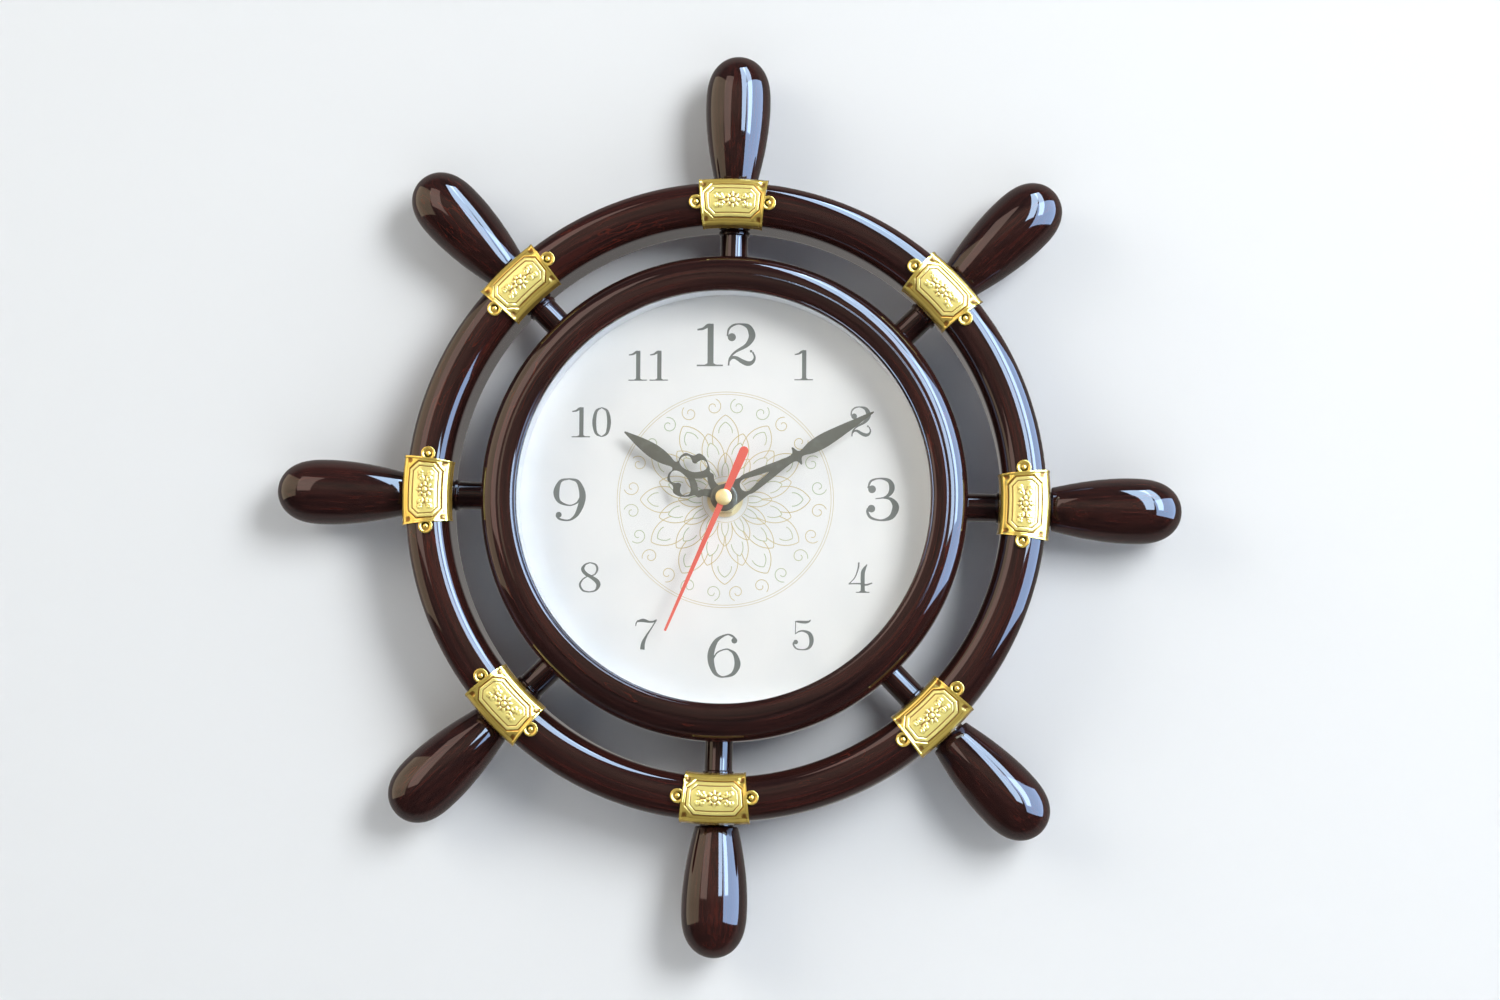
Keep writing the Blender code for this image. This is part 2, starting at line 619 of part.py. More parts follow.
def handle_piece():
    """One turned handle with a collar and a blind bore for the spoke's tenon, lying along x."""
    bore = TENON_RADIUS + HOLE_CLEARANCE
    bore_end = RING_OUTER_RADIUS + TENON_LENGTH + HANDLE_BORE_SPARE
    profile = [
        (0, bore_end), (bore, bore_end), (bore, HANDLE_START), (HANDLE_COLLAR_RADIUS, HANDLE_START),
        (HANDLE_COLLAR_RADIUS, HANDLE_SHOULDER), *handle_profile(CROWN_STEPS + 1),
    ]
    return along_x(turned(profile, HANDLE_FACETS), 0.0, 0.0, SPOKE_HEIGHT)


def drawn_in(points, share):
    """A run of (radius, z) points with each end moved by a share of the way to its neighbour."""
    first = Vector(points[0]).lerp(Vector(points[1]), share)
    last = Vector(points[-1]).lerp(Vector(points[-2]), share)
    return [tuple(first), *points[1:-1], tuple(last)]


def over_ring(offset):
    """The ring's crown moved outwards by an offset, with its two ends drawn up to the plaque's lips."""
    apothem = RING_INNER_RADIUS * math.cos(math.pi / CASE_FACETS)
    sides = (RING_OUTER_RADIUS + offset, apothem - offset)
    return drawn_in(crown(*sides, RING_BASE, RING_CROWN + offset, CROWN_STEPS), PLAQUE_LIP_SHARE)


def over_panel(offset):
    """The middle of the ring's crown moved outwards by an offset, as wide as the plaque's panel."""
    return drawn_in(over_ring(offset)[1:-1], PLAQUE_PANEL_EDGE_SHARE)


def plaque_piece():
    """One curved plaque over the top of the ring, with a raised panel and two round ears."""
    inner = GAP
    outer = GAP + PLAQUE_THICKNESS
    half_angle = PLAQUE_LENGTH / 2 / RING_MIDDLE_RADIUS
    body = swept(over_ring(outer) + over_ring(inner)[::-1], half_angle, PLAQUE_STEPS)
    section = over_panel(outer + PLAQUE_PANEL_RISE) + over_panel((inner + outer) / 2)[::-1]
    panel_angle = half_angle - PLAQUE_PANEL_MARGIN / RING_MIDDLE_RADIUS
    panel = swept(section, panel_angle, PLAQUE_STEPS + 1)
    reach = PLAQUE_LENGTH / 2 + PLAQUE_EAR_INSET
    ears = []
    rear = RING_FRONT + GAP + (PLAQUE_THICKNESS - PLAQUE_EAR_THICKNESS) / 2
    for side in (-1, 1):
        centre = step_from(CENTRE, RING_MIDDLE_RADIUS, math.pi / 2 + side * reach / RING_MIDDLE_RADIUS)
        edge = circle(PLAQUE_EAR_RADIUS, TINY_FACETS, centre)
        ears.append(prism([edge], rear, rear + PLAQUE_EAR_THICKNESS))
    return joined(body, panel, *ears)


def hanger_slot(y_top, radius, entry_radius, length):
    """The keyhole: a round entry with a slot above it whose closed end is centred on y_top."""
    entry_y = y_top - length
    half_width_angle = math.asin(radius / entry_radius)
    upper = circle(radius, TINY_FACETS, (0, y_top), 0, math.pi)
    start = math.pi / 2 + half_width_angle
    lower = circle(entry_radius, SMALL_FACETS, (0, entry_y), start, 5 * math.pi / 2 - half_width_angle)
    return upper + lower


def hanger_span():
    """Lowest and highest y of the steel plate, and the height of its screws."""
    low = HANGER_RISE - HANGER_SLOT_LENGTH - HANGER_ENTRY_RADIUS - HANGER_MARGIN
    high = HANGER_RISE + HANGER_SLOT_RADIUS + HANGER_MARGIN
    return low, high, (low + high) / 2


def screw_places():
    """Centres of the dial's screws."""
    turns = [DIAL_SCREW_TURN + 2 * math.pi * i / DIAL_SCREWS for i in range(DIAL_SCREWS)]
    return [step_from(CENTRE, DIAL_SCREW_PITCH_RADIUS, turn) for turn in turns]


def case_piece():
    """The drum: wall, flange and the web behind the hanger plate."""
    profile = [
        (CASE_RADIUS, 0), (CASE_RADIUS, FLANGE_FRONT), (FLANGE_INNER_RADIUS, FLANGE_FRONT),
        (FLANGE_INNER_RADIUS, FLANGE_REAR), (CASE_INNER_RADIUS, FLANGE_REAR), (CASE_INNER_RADIUS, 0),
    ]
    body = turned(profile, CASE_FACETS)
    edge = CASE_INNER_RADIUS + CASE_WALL / 2
    low = CASE_INNER_RADIUS - WEB_REACH
    bow = math.asin(low / edge)
    segment = circle(edge, SMALL_FACETS, CENTRE, bow, math.pi - bow)
    web = prism([segment], WEB_SETBACK, WEB_SETBACK + WEB_THICKNESS)
    window = HANGER_SCREW_SPACING * WEB_WINDOW_SHARE / 2
    slot_low = HANGER_RISE - HANGER_SLOT_LENGTH - HANGER_ENTRY_RADIUS
    opening = rectangle(-window, window, slot_low, HANGER_RISE + HANGER_SLOT_RADIUS)
    tools = [prism([opening], 0, WEB_SETBACK + WEB_THICKNESS + OVERRUN)]
    for x in (-HANGER_SCREW_SPACING / 2, HANGER_SCREW_SPACING / 2):
        hole = circle(SCREW_RADIUS + SCREW_CLEARANCE, TINY_FACETS, (x, hanger_span()[2]))
        tools.append(prism([hole], 0, WEB_SETBACK + WEB_THICKNESS + OVERRUN))
    for place_of in screw_places():
        hole = circle(SCREW_RADIUS + SCREW_CLEARANCE, TINY_FACETS, place_of)
        depth = SCREW_LENGTH - DIAL_THICKNESS - GAP + SCREW_CLEARANCE
        tools.append(prism([hole], DIAL_REAR, FLANGE_REAR + depth))
    radius = SPOKE_RADIUS + HOLE_CLEARANCE
    length = CASE_WALL + 2 * OVERRUN
    for i in range(SPOKES):
        hole = turned([(0, 0), (radius, 0), (radius, length), (0, length)], SPOKE_FACETS)
        turn = 2 * math.pi * i / SPOKES
        tools.append(along_x(hole, CASE_INNER_RADIUS - OVERRUN, turn, SPOKE_HEIGHT))
    return cut(joined(body, web), *tools)


def bezel_piece():
    """The crowned front ring, hollow behind, with a lip over the lens and a skirt over the case."""
    shoulder = BEZEL_CREST - BEZEL_OUTER_RISE
    outer_width = BEZEL_RADIUS - BEZEL_CREST_RADIUS
    outside = crown(
        BEZEL_RADIUS, BEZEL_CREST_RADIUS - outer_width, shoulder, BEZEL_OUTER_RISE, 3, 0.0, math.pi / 2
    )
    inner_width = BEZEL_CREST_RADIUS - BEZEL_LIP_RADIUS
    inside = crown(
        BEZEL_CREST_RADIUS + inner_width, BEZEL_LIP_RADIUS, LIP_FRONT, BEZEL_INNER_RISE, 3,
        math.pi / 2, math.pi,
    )
    rear = FLANGE_FRONT + GAP
    skirt = FLANGE_FRONT - BEZEL_SKIRT_LENGTH
    hollow_inner = BEZEL_SEAT_RADIUS + BEZEL_SEAT_WALL
    hollow_outer = CASE_RADIUS + GAP
    hollow_top = (shoulder + BEZEL_CREST) / 2
    profile = [(BEZEL_RADIUS, skirt), *outside, *inside[1:], (BEZEL_LIP_RADIUS, LIP_REAR)]
    profile += [(BEZEL_SEAT_RADIUS, LIP_REAR), (BEZEL_SEAT_RADIUS, rear), (hollow_inner, rear)]
    profile += [(hollow_inner, hollow_top), (hollow_outer, hollow_top), (hollow_outer, skirt)]
    return turned(profile, CASE_FACETS)


def spacer_piece():
    """The white hoop between the dial and the lens."""
    outer = circle(SPACER_OUTER_RADIUS, CASE_FACETS)
    inner = circle(SPACER_INNER_RADIUS, CASE_FACETS)
    return prism([outer, inner], DIAL_FRONT + GAP, LENS_REAR - GAP)


def lens_piece():
    """The clear flat lens."""
    return prism([circle(LENS_RADIUS, CASE_FACETS)], LENS_REAR, LENS_FRONT)


def dial_piece():
    """The printed plate, with the hole for the movement's bush and four screw holes."""
    holes = [circle(BUSH_RADIUS + GAP, SMALL_FACETS)]
    holes += [circle(SCREW_RADIUS + SCREW_CLEARANCE, TINY_FACETS, spot) for spot in screw_places()]
    return prism([circle(DIAL_RADIUS, CASE_FACETS), *holes], DIAL_REAR, DIAL_FRONT)


def screw_piece(seat, length):
    """A screw driven towards the viewer, with its head behind the level seat."""
    profile = [
        (0, seat - GAP - SCREW_HEAD_THICKNESS), (SCREW_HEAD_RADIUS, seat - GAP - SCREW_HEAD_THICKNESS),
        (SCREW_HEAD_RADIUS, seat - GAP), (SCREW_RADIUS, seat - GAP),
        (SCREW_RADIUS, seat + length), (0, seat + length),
    ]
    return turned(profile, TINY_FACETS)


def hanger_piece():
    """The steel plate with the keyhole that takes the nail or screw in the wall."""
    low, high, screw_y = hanger_span()
    outline = rectangle(-HANGER_WIDTH / 2, HANGER_WIDTH / 2, low, high)
    holes = [hanger_slot(HANGER_RISE, HANGER_SLOT_RADIUS, HANGER_ENTRY_RADIUS, HANGER_SLOT_LENGTH)]
    for x in (-HANGER_SCREW_SPACING / 2, HANGER_SCREW_SPACING / 2):
        holes.append(circle(SCREW_RADIUS + SCREW_CLEARANCE, TINY_FACETS, (x, screw_y)))
    front = WEB_SETBACK - GAP
    return prism([outline, *holes], front - HANGER_THICKNESS, front)


def hour_hand_piece():
    """The hour hand: leaf blade, two open lobes and a concave diamond by the hub."""
    outline = hand_outline(HOUR_EDGE_SHARES, HOUR_LENGTH, HOUR_HUB_RADIUS)
    right = [(w * HOUR_LENGTH, s * HOUR_LENGTH) for s, w in HOUR_LOBE_SHARES]
    left = [(-x, y) for x, y in reversed(right)]
    half = [(w * HOUR_LENGTH, s * HOUR_LENGTH) for s, w in HOUR_DIAMOND_SHARES]
    diamond = half + [(-x, y) for x, y in reversed(half[1:-1])]
    bore = circle(HOUR_PIPE_RADIUS + HOLE_CLEARANCE, SMALL_FACETS)
    front = HOUR_HAND_REAR + HAND_THICKNESS
    return prism([outline, right, left, diamond, bore], HOUR_HAND_REAR, front)


def minute_hand_piece():
    """The minute hand: leaf blade, a pair of barbs and a drop-shaped opening."""
    outline = hand_outline(MINUTE_EDGE_SHARES, MINUTE_LENGTH, MINUTE_HUB_RADIUS)
    half = [(w * MINUTE_LENGTH, s * MINUTE_LENGTH) for s, w in MINUTE_DROP_SHARES]
    drop = half + [(-x, y) for x, y in reversed(half[1:])]
    bore = circle(MINUTE_PIPE_RADIUS + HOLE_CLEARANCE, SMALL_FACETS)
    front = MINUTE_HAND_REAR + HAND_THICKNESS
    return prism([outline, drop, bore], MINUTE_HAND_REAR, front)


def second_hand_piece():
    """The seconds hand with its counterweight tail and the cap pressed on the arbor."""
    tail_centre = (0, SECOND_TAIL_WIDTH / 2 - SECOND_TAIL)
    tail = circle(SECOND_TAIL_WIDTH / 2, TINY_FACETS, tail_centre, math.pi, 2 * math.pi)
    outline = [*tail, (SECOND_HUB_WIDTH / 2, 0), (SECOND_TIP_WIDTH / 2, SECOND_LENGTH)]
    outline += [(-SECOND_TIP_WIDTH / 2, SECOND_LENGTH), (-SECOND_HUB_WIDTH / 2, 0)]
    blade = prism([outline], SECOND_HAND_REAR, SECOND_HAND_REAR + HAND_THICKNESS)
    cap = turned(
        [(0, SECOND_HAND_REAR - GAP), (CAP_RADIUS, SECOND_HAND_REAR - GAP),
         (CAP_RADIUS, CAP_FRONT - PIPE_PROUD), (CAP_RADIUS - PIPE_PROUD, CAP_FRONT), (0, CAP_FRONT)],
        SMALL_FACETS,
    )
    bore = circle(SECOND_ARBOR_RADIUS + HOLE_CLEARANCE, TINY_FACETS)
    return cut(joined(blade, cap), prism([bore], SECOND_HAND_REAR - OVERRUN, CAP_FRONT - GAP))


def nut_piece():
    """The hexagon nut that clamps the dial to the movement's bush."""
    outline = circle(NUT_ACROSS_FLATS / 2 / math.cos(math.pi / 6), 6)
    bore = circle(BUSH_RADIUS + GAP, SMALL_FACETS)
    return prism([outline, bore], NUT_REAR, NUT_REAR + NUT_THICKNESS)


def washer_piece():
    """The washer under the nut."""
    bore = circle(BUSH_RADIUS + GAP, SMALL_FACETS)
    edge = circle(WASHER_RADIUS, 2 * SMALL_FACETS)
    return prism([edge, bore], WASHER_REAR, WASHER_REAR + WASHER_THICKNESS)


def contact_slot(side):
    """The space through the partition for one contact's lug, with its clearance."""
    end = side * BAY_HALF_LENGTH
    inner = end - side * (CONTACT_THICKNESS + 3 * GAP)
    outline = rectangle(min(end, inner), max(end, inner), BAY_TOP - OVERRUN, PARTITION_TOP + OVERRUN)
    rear = BATTERY_HEIGHT - CONTACT_LUG / 2
    return prism([outline], rear - GAP, rear + CONTACT_LUG + GAP)


def movement_case_piece():
    """The moulded tray: gear pocket open to the front, battery bay open to the back."""
    edge = POCKET_HALF_LENGTH + MOVEMENT_WALL
    body = prism(
        [rectangle(-edge, edge, BAY_BOTTOM - MOVEMENT_WALL, POCKET_TOP + MOVEMENT_WALL)],
        MOVEMENT_REAR, MOVEMENT_FRONT,
    )
    pocket = rectangle(-POCKET_HALF_LENGTH, POCKET_HALF_LENGTH, PARTITION_TOP, POCKET_TOP)
    bay = rectangle(-BAY_HALF_LENGTH, BAY_HALF_LENGTH, BAY_BOTTOM, BAY_TOP)
    tools = [
        prism([pocket], FLOOR, MOVEMENT_FRONT + OVERRUN),
        prism([bay], MOVEMENT_REAR - OVERRUN, MOVEMENT_REAR + BAY_DEPTH),
        contact_slot(-1),
        contact_slot(1),
    ]
    knob_hole = circle(KNOB_SHAFT_RADIUS + HOLE_CLEARANCE, SMALL_FACETS, KNOB_AXIS)
    tools.append(prism([knob_hole], MOVEMENT_REAR - OVERRUN, FLOOR + OVERRUN))
    for axis in (CENTRE, THIRD_AXIS, STEP_AXIS, ROTOR_AXIS):
        hole = circle(SECOND_ARBOR_RADIUS + HOLE_CLEARANCE, TINY_FACETS, axis)
        tools.append(prism([hole], FLOOR - PIVOT_DEPTH - HOLE_CLEARANCE, FLOOR + OVERRUN))
    left, right = coil_span()
    rise = (ROTOR_AXIS[1] + COIL_AXIS_RISE) / 2
    posts = []
    for x in (left - GAP - STATOR_ARM / 2, right + GAP + STATOR_ARM / 2):
        post = circle(STATOR_POST_RADIUS, TINY_FACETS, (x, rise))
        posts.append(prism([post], FLOOR - MOVEMENT_FLOOR / 2, STATOR_REAR - GAP))
    return joined(cut(body, *tools), *posts)


def movement_cover_piece():
    """The front plate with its bush, the upper pivot holes and the post of the minute wheel."""
    low = PARTITION_TOP + GAP
    edge = POCKET_HALF_LENGTH - GAP
    outline = rectangle(-edge, edge, low, POCKET_TOP - GAP)
    plate = prism([outline], COVER_REAR, MOVEMENT_FRONT)
    bush = prism([circle(BUSH_RADIUS, 2 * SMALL_FACETS)], COVER_REAR + COVER_THICKNESS / 2, BUSH_FRONT)
    post = prism(
        [circle(SECOND_ARBOR_RADIUS, TINY_FACETS, MINUTE_WHEEL_AXIS)],
        MOTION_LEVEL, COVER_REAR + COVER_THICKNESS / 2,
    )
    tools = [prism([circle(BUSH_BORE_RADIUS, 2 * SMALL_FACETS)], COVER_REAR - OVERRUN, BUSH_FRONT + OVERRUN)]
    for axis in (THIRD_AXIS, STEP_AXIS, ROTOR_AXIS):
        hole = circle(ARBOR_RADIUS + HOLE_CLEARANCE, TINY_FACETS, axis)
        tools.append(prism([hole], COVER_REAR - OVERRUN, MOVEMENT_FRONT + OVERRUN))
    return cut(joined(plate, bush, post), *tools)


def train_phases():
    """The phase of every gear that leaves each meshing pair with a tooth in a space."""
    phases = {"second_wheel": 0.0, "second_pinion": 0.0, "cannon_pinion": 0.0, "minute_pinion": 0.0}
    phases["step_pinion"] = mating_phase(0.0, SECOND_WHEEL_TEETH, STEP_PINION_TEETH, STEP_DIRECTION)
    phases["step_wheel"] = 0.0
    phases["rotor_pinion"] = mating_phase(0.0, STEP_WHEEL_TEETH, ROTOR_PINION_TEETH, ROTOR_DIRECTION)
    phases["third_wheel"] = mating_phase(0.0, SECOND_PINION_TEETH, THIRD_WHEEL_TEETH, THIRD_DIRECTION)
    phases["center_wheel"] = 0.0
    phases["third_pinion"] = mating_phase(0.0, CENTER_WHEEL_TEETH, THIRD_PINION_TEETH, THIRD_DIRECTION)
    phases["minute_wheel"] = mating_phase(
        0.0, CANNON_PINION_TEETH, MINUTE_WHEEL_TEETH, MINUTE_WHEEL_DIRECTION
    )
    phases["hour_wheel"] = mating_phase(
        0.0, MINUTE_PINION_TEETH, HOUR_WHEEL_TEETH, MINUTE_WHEEL_DIRECTION + math.pi
    )
    phases["knob_pinion"] = mating_phase(
        phases["minute_wheel"], MINUTE_WHEEL_TEETH, KNOB_PINION_TEETH, KNOB_DIRECTION
    )
    return phases


def disc(radius, rear, front, facets=TINY_FACETS):
    """A short round body on the piece's own axis."""
    return prism([circle(radius, facets)], rear, front)


def second_wheel_piece(phases):
    """The seconds wheel, its pinion and the long arbor that carries the seconds hand."""
    wheel = gear_outline(SECOND_WHEEL_TEETH, SECOND_MODULE, phases["second_wheel"], False)
    pinion = gear_outline(SECOND_PINION_TEETH, THIRD_MODULE, phases["second_pinion"], True)
    return joined(
        prism([wheel], SECOND_LEVEL, SECOND_LEVEL + GEAR_THICKNESS),
        prism([pinion], SECOND_LEVEL + GEAR_THICKNESS / 2, SECOND_PINION_FRONT),
        disc(SECOND_ARBOR_RADIUS, FLOOR - PIVOT_DEPTH, CAP_FRONT - 2 * GAP),
    )


def third_wheel_piece(phases):
    """The third wheel, whose pinion drives the centre wheel."""
    wheel = gear_outline(THIRD_WHEEL_TEETH, THIRD_MODULE, phases["third_wheel"], False)
    pinion = gear_outline(THIRD_PINION_TEETH, CENTER_MODULE, phases["third_pinion"], True)
    return joined(
        prism([wheel], THIRD_LEVEL, THIRD_LEVEL + GEAR_THICKNESS),
        prism([pinion], THIRD_LEVEL + GEAR_THICKNESS / 2, CENTER_LEVEL + GEAR_THICKNESS + PINION_PROUD),
        disc(ARBOR_RADIUS, FLOOR - PIVOT_DEPTH, MOVEMENT_FRONT - GAP),
    )


def center_wheel_piece(phases):
    """The centre wheel, which grips the minute pipe as a slipping clutch."""
    wheel = gear_outline(CENTER_WHEEL_TEETH, CENTER_MODULE, phases["center_wheel"], False)
    bore = circle(MINUTE_PIPE_RADIUS + HOLE_CLEARANCE, SMALL_FACETS)
    return prism([wheel, bore], CENTER_LEVEL, CENTER_LEVEL + GEAR_THICKNESS)


def minute_pipe_piece(phases):
    """The cannon pipe: a flange under the centre wheel, the motion pinion and the hand's seat."""
    pinion = gear_outline(CANNON_PINION_TEETH, CANNON_MODULE, phases["cannon_pinion"], True)
    body = joined(
        prism([pinion], CENTER_LEVEL + GEAR_THICKNESS + GAP, CANNON_FRONT),
        disc(MINUTE_PIPE_RADIUS, PIPE_REAR, MINUTE_PIPE_FRONT, SMALL_FACETS),
        disc(HOUR_PIPE_RADIUS, PIPE_REAR, CENTER_LEVEL - GAP, SMALL_FACETS),
    )
    bore = disc(MINUTE_BORE_RADIUS, PIPE_REAR - OVERRUN, MINUTE_PIPE_FRONT + OVERRUN, SMALL_FACETS)
    return cut(body, bore)


def minute_wheel_piece(phases):
    """The wheel of the motion work, which gears the hour pipe down from the minute pipe."""
    wheel = gear_outline(MINUTE_WHEEL_TEETH, CANNON_MODULE, phases["minute_wheel"], False)
    pinion = gear_outline(MINUTE_PINION_TEETH, HOUR_MODULE, phases["minute_pinion"], True)
    body = joined(
        prism([wheel], MOTION_LEVEL, MOTION_LEVEL + GEAR_THICKNESS),
        prism([pinion], MOTION_LEVEL + GEAR_THICKNESS / 2, HOUR_PINION_FRONT),
    )
    bore = SECOND_ARBOR_RADIUS + HOLE_CLEARANCE
    return cut(body, disc(bore, MOTION_LEVEL - OVERRUN, HOUR_PINION_FRONT + OVERRUN))


def hour_wheel_piece(phases):
    """The hour wheel on its pipe."""
    wheel = gear_outline(HOUR_WHEEL_TEETH, HOUR_MODULE, phases["hour_wheel"], False)
    body = joined(
        prism([wheel], HOUR_LEVEL, HOUR_LEVEL + GEAR_THICKNESS),
        disc(HOUR_PIPE_RADIUS, HOUR_LEVEL - GAP, HOUR_PIPE_FRONT, SMALL_FACETS),
    )
    return cut(body, disc(HOUR_BORE_RADIUS, HOUR_LEVEL - OVERRUN, HOUR_PIPE_FRONT + OVERRUN, SMALL_FACETS))


def step_wheel_piece(phases):
    """The first reduction wheel, between the rotor and the seconds wheel."""
    wheel = gear_outline(STEP_WHEEL_TEETH, STEP_MODULE, phases["step_wheel"], False)
    pinion = gear_outline(STEP_PINION_TEETH, SECOND_MODULE, phases["step_pinion"], True)
    return joined(
        prism([wheel], STEP_LEVEL, STEP_LEVEL + GEAR_THICKNESS),
        prism([pinion], SECOND_LEVEL - GAP, STEP_LEVEL + GEAR_THICKNESS / 2),
        disc(ARBOR_RADIUS, FLOOR - PIVOT_DEPTH, MOVEMENT_FRONT - GAP),
    )


def rotor_piece(phases):
    """The rotor: a round magnet on an arbor with the pinion that drives the step wheel."""
    pinion = gear_outline(ROTOR_PINION_TEETH, STEP_MODULE, phases["rotor_pinion"], True)
    magnet_rear = STATOR_REAR + STATOR_THICKNESS / 2 - MAGNET_THICKNESS / 2
    return joined(
        disc(ARBOR_RADIUS, FLOOR - PIVOT_DEPTH, MOVEMENT_FRONT - GAP),
        prism([pinion], STEP_LEVEL - GAP, STEP_LEVEL + GEAR_THICKNESS + GAP),
        disc(MAGNET_RADIUS, magnet_rear, magnet_rear + MAGNET_THICKNESS, SMALL_FACETS),
    )


def knob_piece(phases):
    """The ribbed setting knob behind the case, with the shaft and pinion that turn the hands."""
    pinion = gear_outline(KNOB_PINION_TEETH, CANNON_MODULE, phases["knob_pinion"], True)
    rim = []
    for i in range(2 * KNOB_RIBS):
        radius = KNOB_RADIUS if i % 2 else KNOB_RADIUS * KNOB_RIB_SHARE
        rim.append(step_from(CENTRE, radius, math.pi * i / KNOB_RIBS))
    rear = MOVEMENT_REAR - GAP - KNOB_THICKNESS
    return joined(
        disc(KNOB_SHAFT_RADIUS, MOVEMENT_REAR - KNOB_THICKNESS / 2, COVER_REAR - GAP, SMALL_FACETS),
        prism([rim], rear, rear + KNOB_THICKNESS),
        prism([pinion], MOTION_LEVEL - GAP, MOTION_LEVEL + GEAR_THICKNESS + GAP),
    )


def coil_span():
    """Ends of the coil along x, counted from the rotor's axis."""
    return ROTOR_AXIS[0] - COIL_LENGTH / 2, ROTOR_AXIS[0] + COIL_LENGTH / 2


def stator_piece():
    """The soft iron plate round the rotor, with two arms up to the coil's core."""
    left, right = coil_span()
    x, y = ROTOR_AXIS
    low = y - STATOR_BAR / 2
    high = y + STATOR_BAR / 2
    top = COIL_AXIS_RISE + CORE_WIDTH / 2
    front = STATOR_REAR + STATOR_THICKNESS
    arm = STATOR_ARM + GAP
    outline = [
        (left - arm, low), (right + arm, low), (right + arm, top), (right + GAP, top),
        (right + GAP, high), (left - GAP, high), (left - GAP, top), (left - arm, top),
    ]
    hole = MAGNET_RADIUS + STATOR_AIR_GAP
    body = joined(
        prism([outline], STATOR_REAR, front),
        prism([circle(hole + STATOR_RIM, 2 * SMALL_FACETS, (x, y))], STATOR_REAR, front),
    )
    return cut(body, prism([circle(hole, 2 * SMALL_FACETS, (x, y))], STATOR_REAR - OVERRUN, front + OVERRUN))


def coil_piece():
    """The wound bobbin, with its core laid over the stator's arms at both ends."""
    left, right = coil_span()
    flange = COIL_FLANGE_THICKNESS
    profile = [
        (0, 0), (COIL_FLANGE_RADIUS, 0), (COIL_FLANGE_RADIUS, flange), (COIL_RADIUS, flange),
        (COIL_RADIUS, COIL_LENGTH - flange), (COIL_FLANGE_RADIUS, COIL_LENGTH - flange),
        (COIL_FLANGE_RADIUS, COIL_LENGTH), (0, COIL_LENGTH),
    ]
    core_rear = STATOR_REAR + STATOR_THICKNESS + GAP
    bobbin = along_x(turned(profile, SMALL_FACETS), left, 0.0, core_rear + STATOR_THICKNESS / 2)
    for vertex in bobbin.verts:
        vertex.co.y += COIL_AXIS_RISE
    low = COIL_AXIS_RISE - CORE_WIDTH / 2
    core = rectangle(left - STATOR_ARM, right + STATOR_ARM, low, low + CORE_WIDTH)
    return joined(bobbin, prism([core], core_rear, core_rear + STATOR_THICKNESS))


def board_corner():
    """The lower left corner of the circuit board, in the upper right of the pocket."""
    return POCKET_HALF_LENGTH - GAP - BOARD_WIDTH, POCKET_TOP - GAP - BOARD_HEIGHT


def board_piece():
    """The circuit board, lying on the movement's floor."""
    x, y = board_corner()
    outline = rectangle(x, x + BOARD_WIDTH, y, y + BOARD_HEIGHT)
    return prism([outline], FLOOR + GAP, FLOOR + GAP + BOARD_THICKNESS)


def crystal_piece():
    """The quartz crystal's can, lying on the board."""
    x, y = board_corner()
    profile = [(0, 0), (CRYSTAL_RADIUS, 0), (CRYSTAL_RADIUS, CRYSTAL_LENGTH), (0, CRYSTAL_LENGTH)]
    height = FLOOR + GAP + BOARD_THICKNESS + GAP + CRYSTAL_RADIUS
    body = along_x(turned(profile, TINY_FACETS), x + BOARD_WIDTH / 2 - CRYSTAL_LENGTH / 2, 0.0, height)
    for vertex in body.verts:
        vertex.co.y += y + BOARD_HEIGHT / 2
    return body


def battery_piece():
    """The AA cell, lying across the bay with its nub to the right."""
    profile = [
        (0, 0), (BATTERY_RADIUS, 0), (BATTERY_RADIUS, BATTERY_LENGTH - BATTERY_NUB_LENGTH),
        (BATTERY_NUB_RADIUS, BATTERY_LENGTH - BATTERY_NUB_LENGTH), (BATTERY_NUB_RADIUS, BATTERY_LENGTH),
        (0, BATTERY_LENGTH),
    ]
    body = along_x(turned(profile, 2 * SMALL_FACETS), -BATTERY_LENGTH / 2, 0.0, BATTERY_HEIGHT)
    for vertex in body.verts:
        vertex.co.y += BATTERY_RISE
    return body


def contact_piece(side):
    """One spring contact at an end of the bay: plate, button, and a lug through the partition."""
    end = side * (BAY_HALF_LENGTH - GAP)
    inner = end - side * CONTACT_THICKNESS
    x_low = min(end, inner)
    x_high = max(end, inner)
    low = BATTERY_RISE - CONTACT_WIDTH / 2
    plate = prism(
        [rectangle(x_low, x_high, low, low + CONTACT_WIDTH)],
        BATTERY_HEIGHT - CONTACT_WIDTH / 2, BATTERY_HEIGHT + CONTACT_WIDTH / 2,
    )
    lug_rear = BATTERY_HEIGHT - CONTACT_LUG / 2
    lug = prism(
        [rectangle(x_low, x_high, BATTERY_RISE, PARTITION_TOP + CONTACT_LUG_REACH)],
        lug_rear, lug_rear + CONTACT_LUG,
    )
    reach = CONTACT_BUTTON_LENGTH - GAP + CONTACT_THICKNESS / 2
    profile = [(0, 0), (CONTACT_BUTTON_RADIUS, 0), (CONTACT_BUTTON_RADIUS / 2, reach), (0, reach)]
    button = turned(profile, TINY_FACETS)
    for vertex in button.verts:
        x, y, z = vertex.co
        start = end - side * CONTACT_THICKNESS / 2
        vertex.co = (start - side * z, y + BATTERY_RISE, BATTERY_HEIGHT + x)
    bmesh.ops.recalc_face_normals(button, faces=button.faces)
    return joined(plate, lug, button)


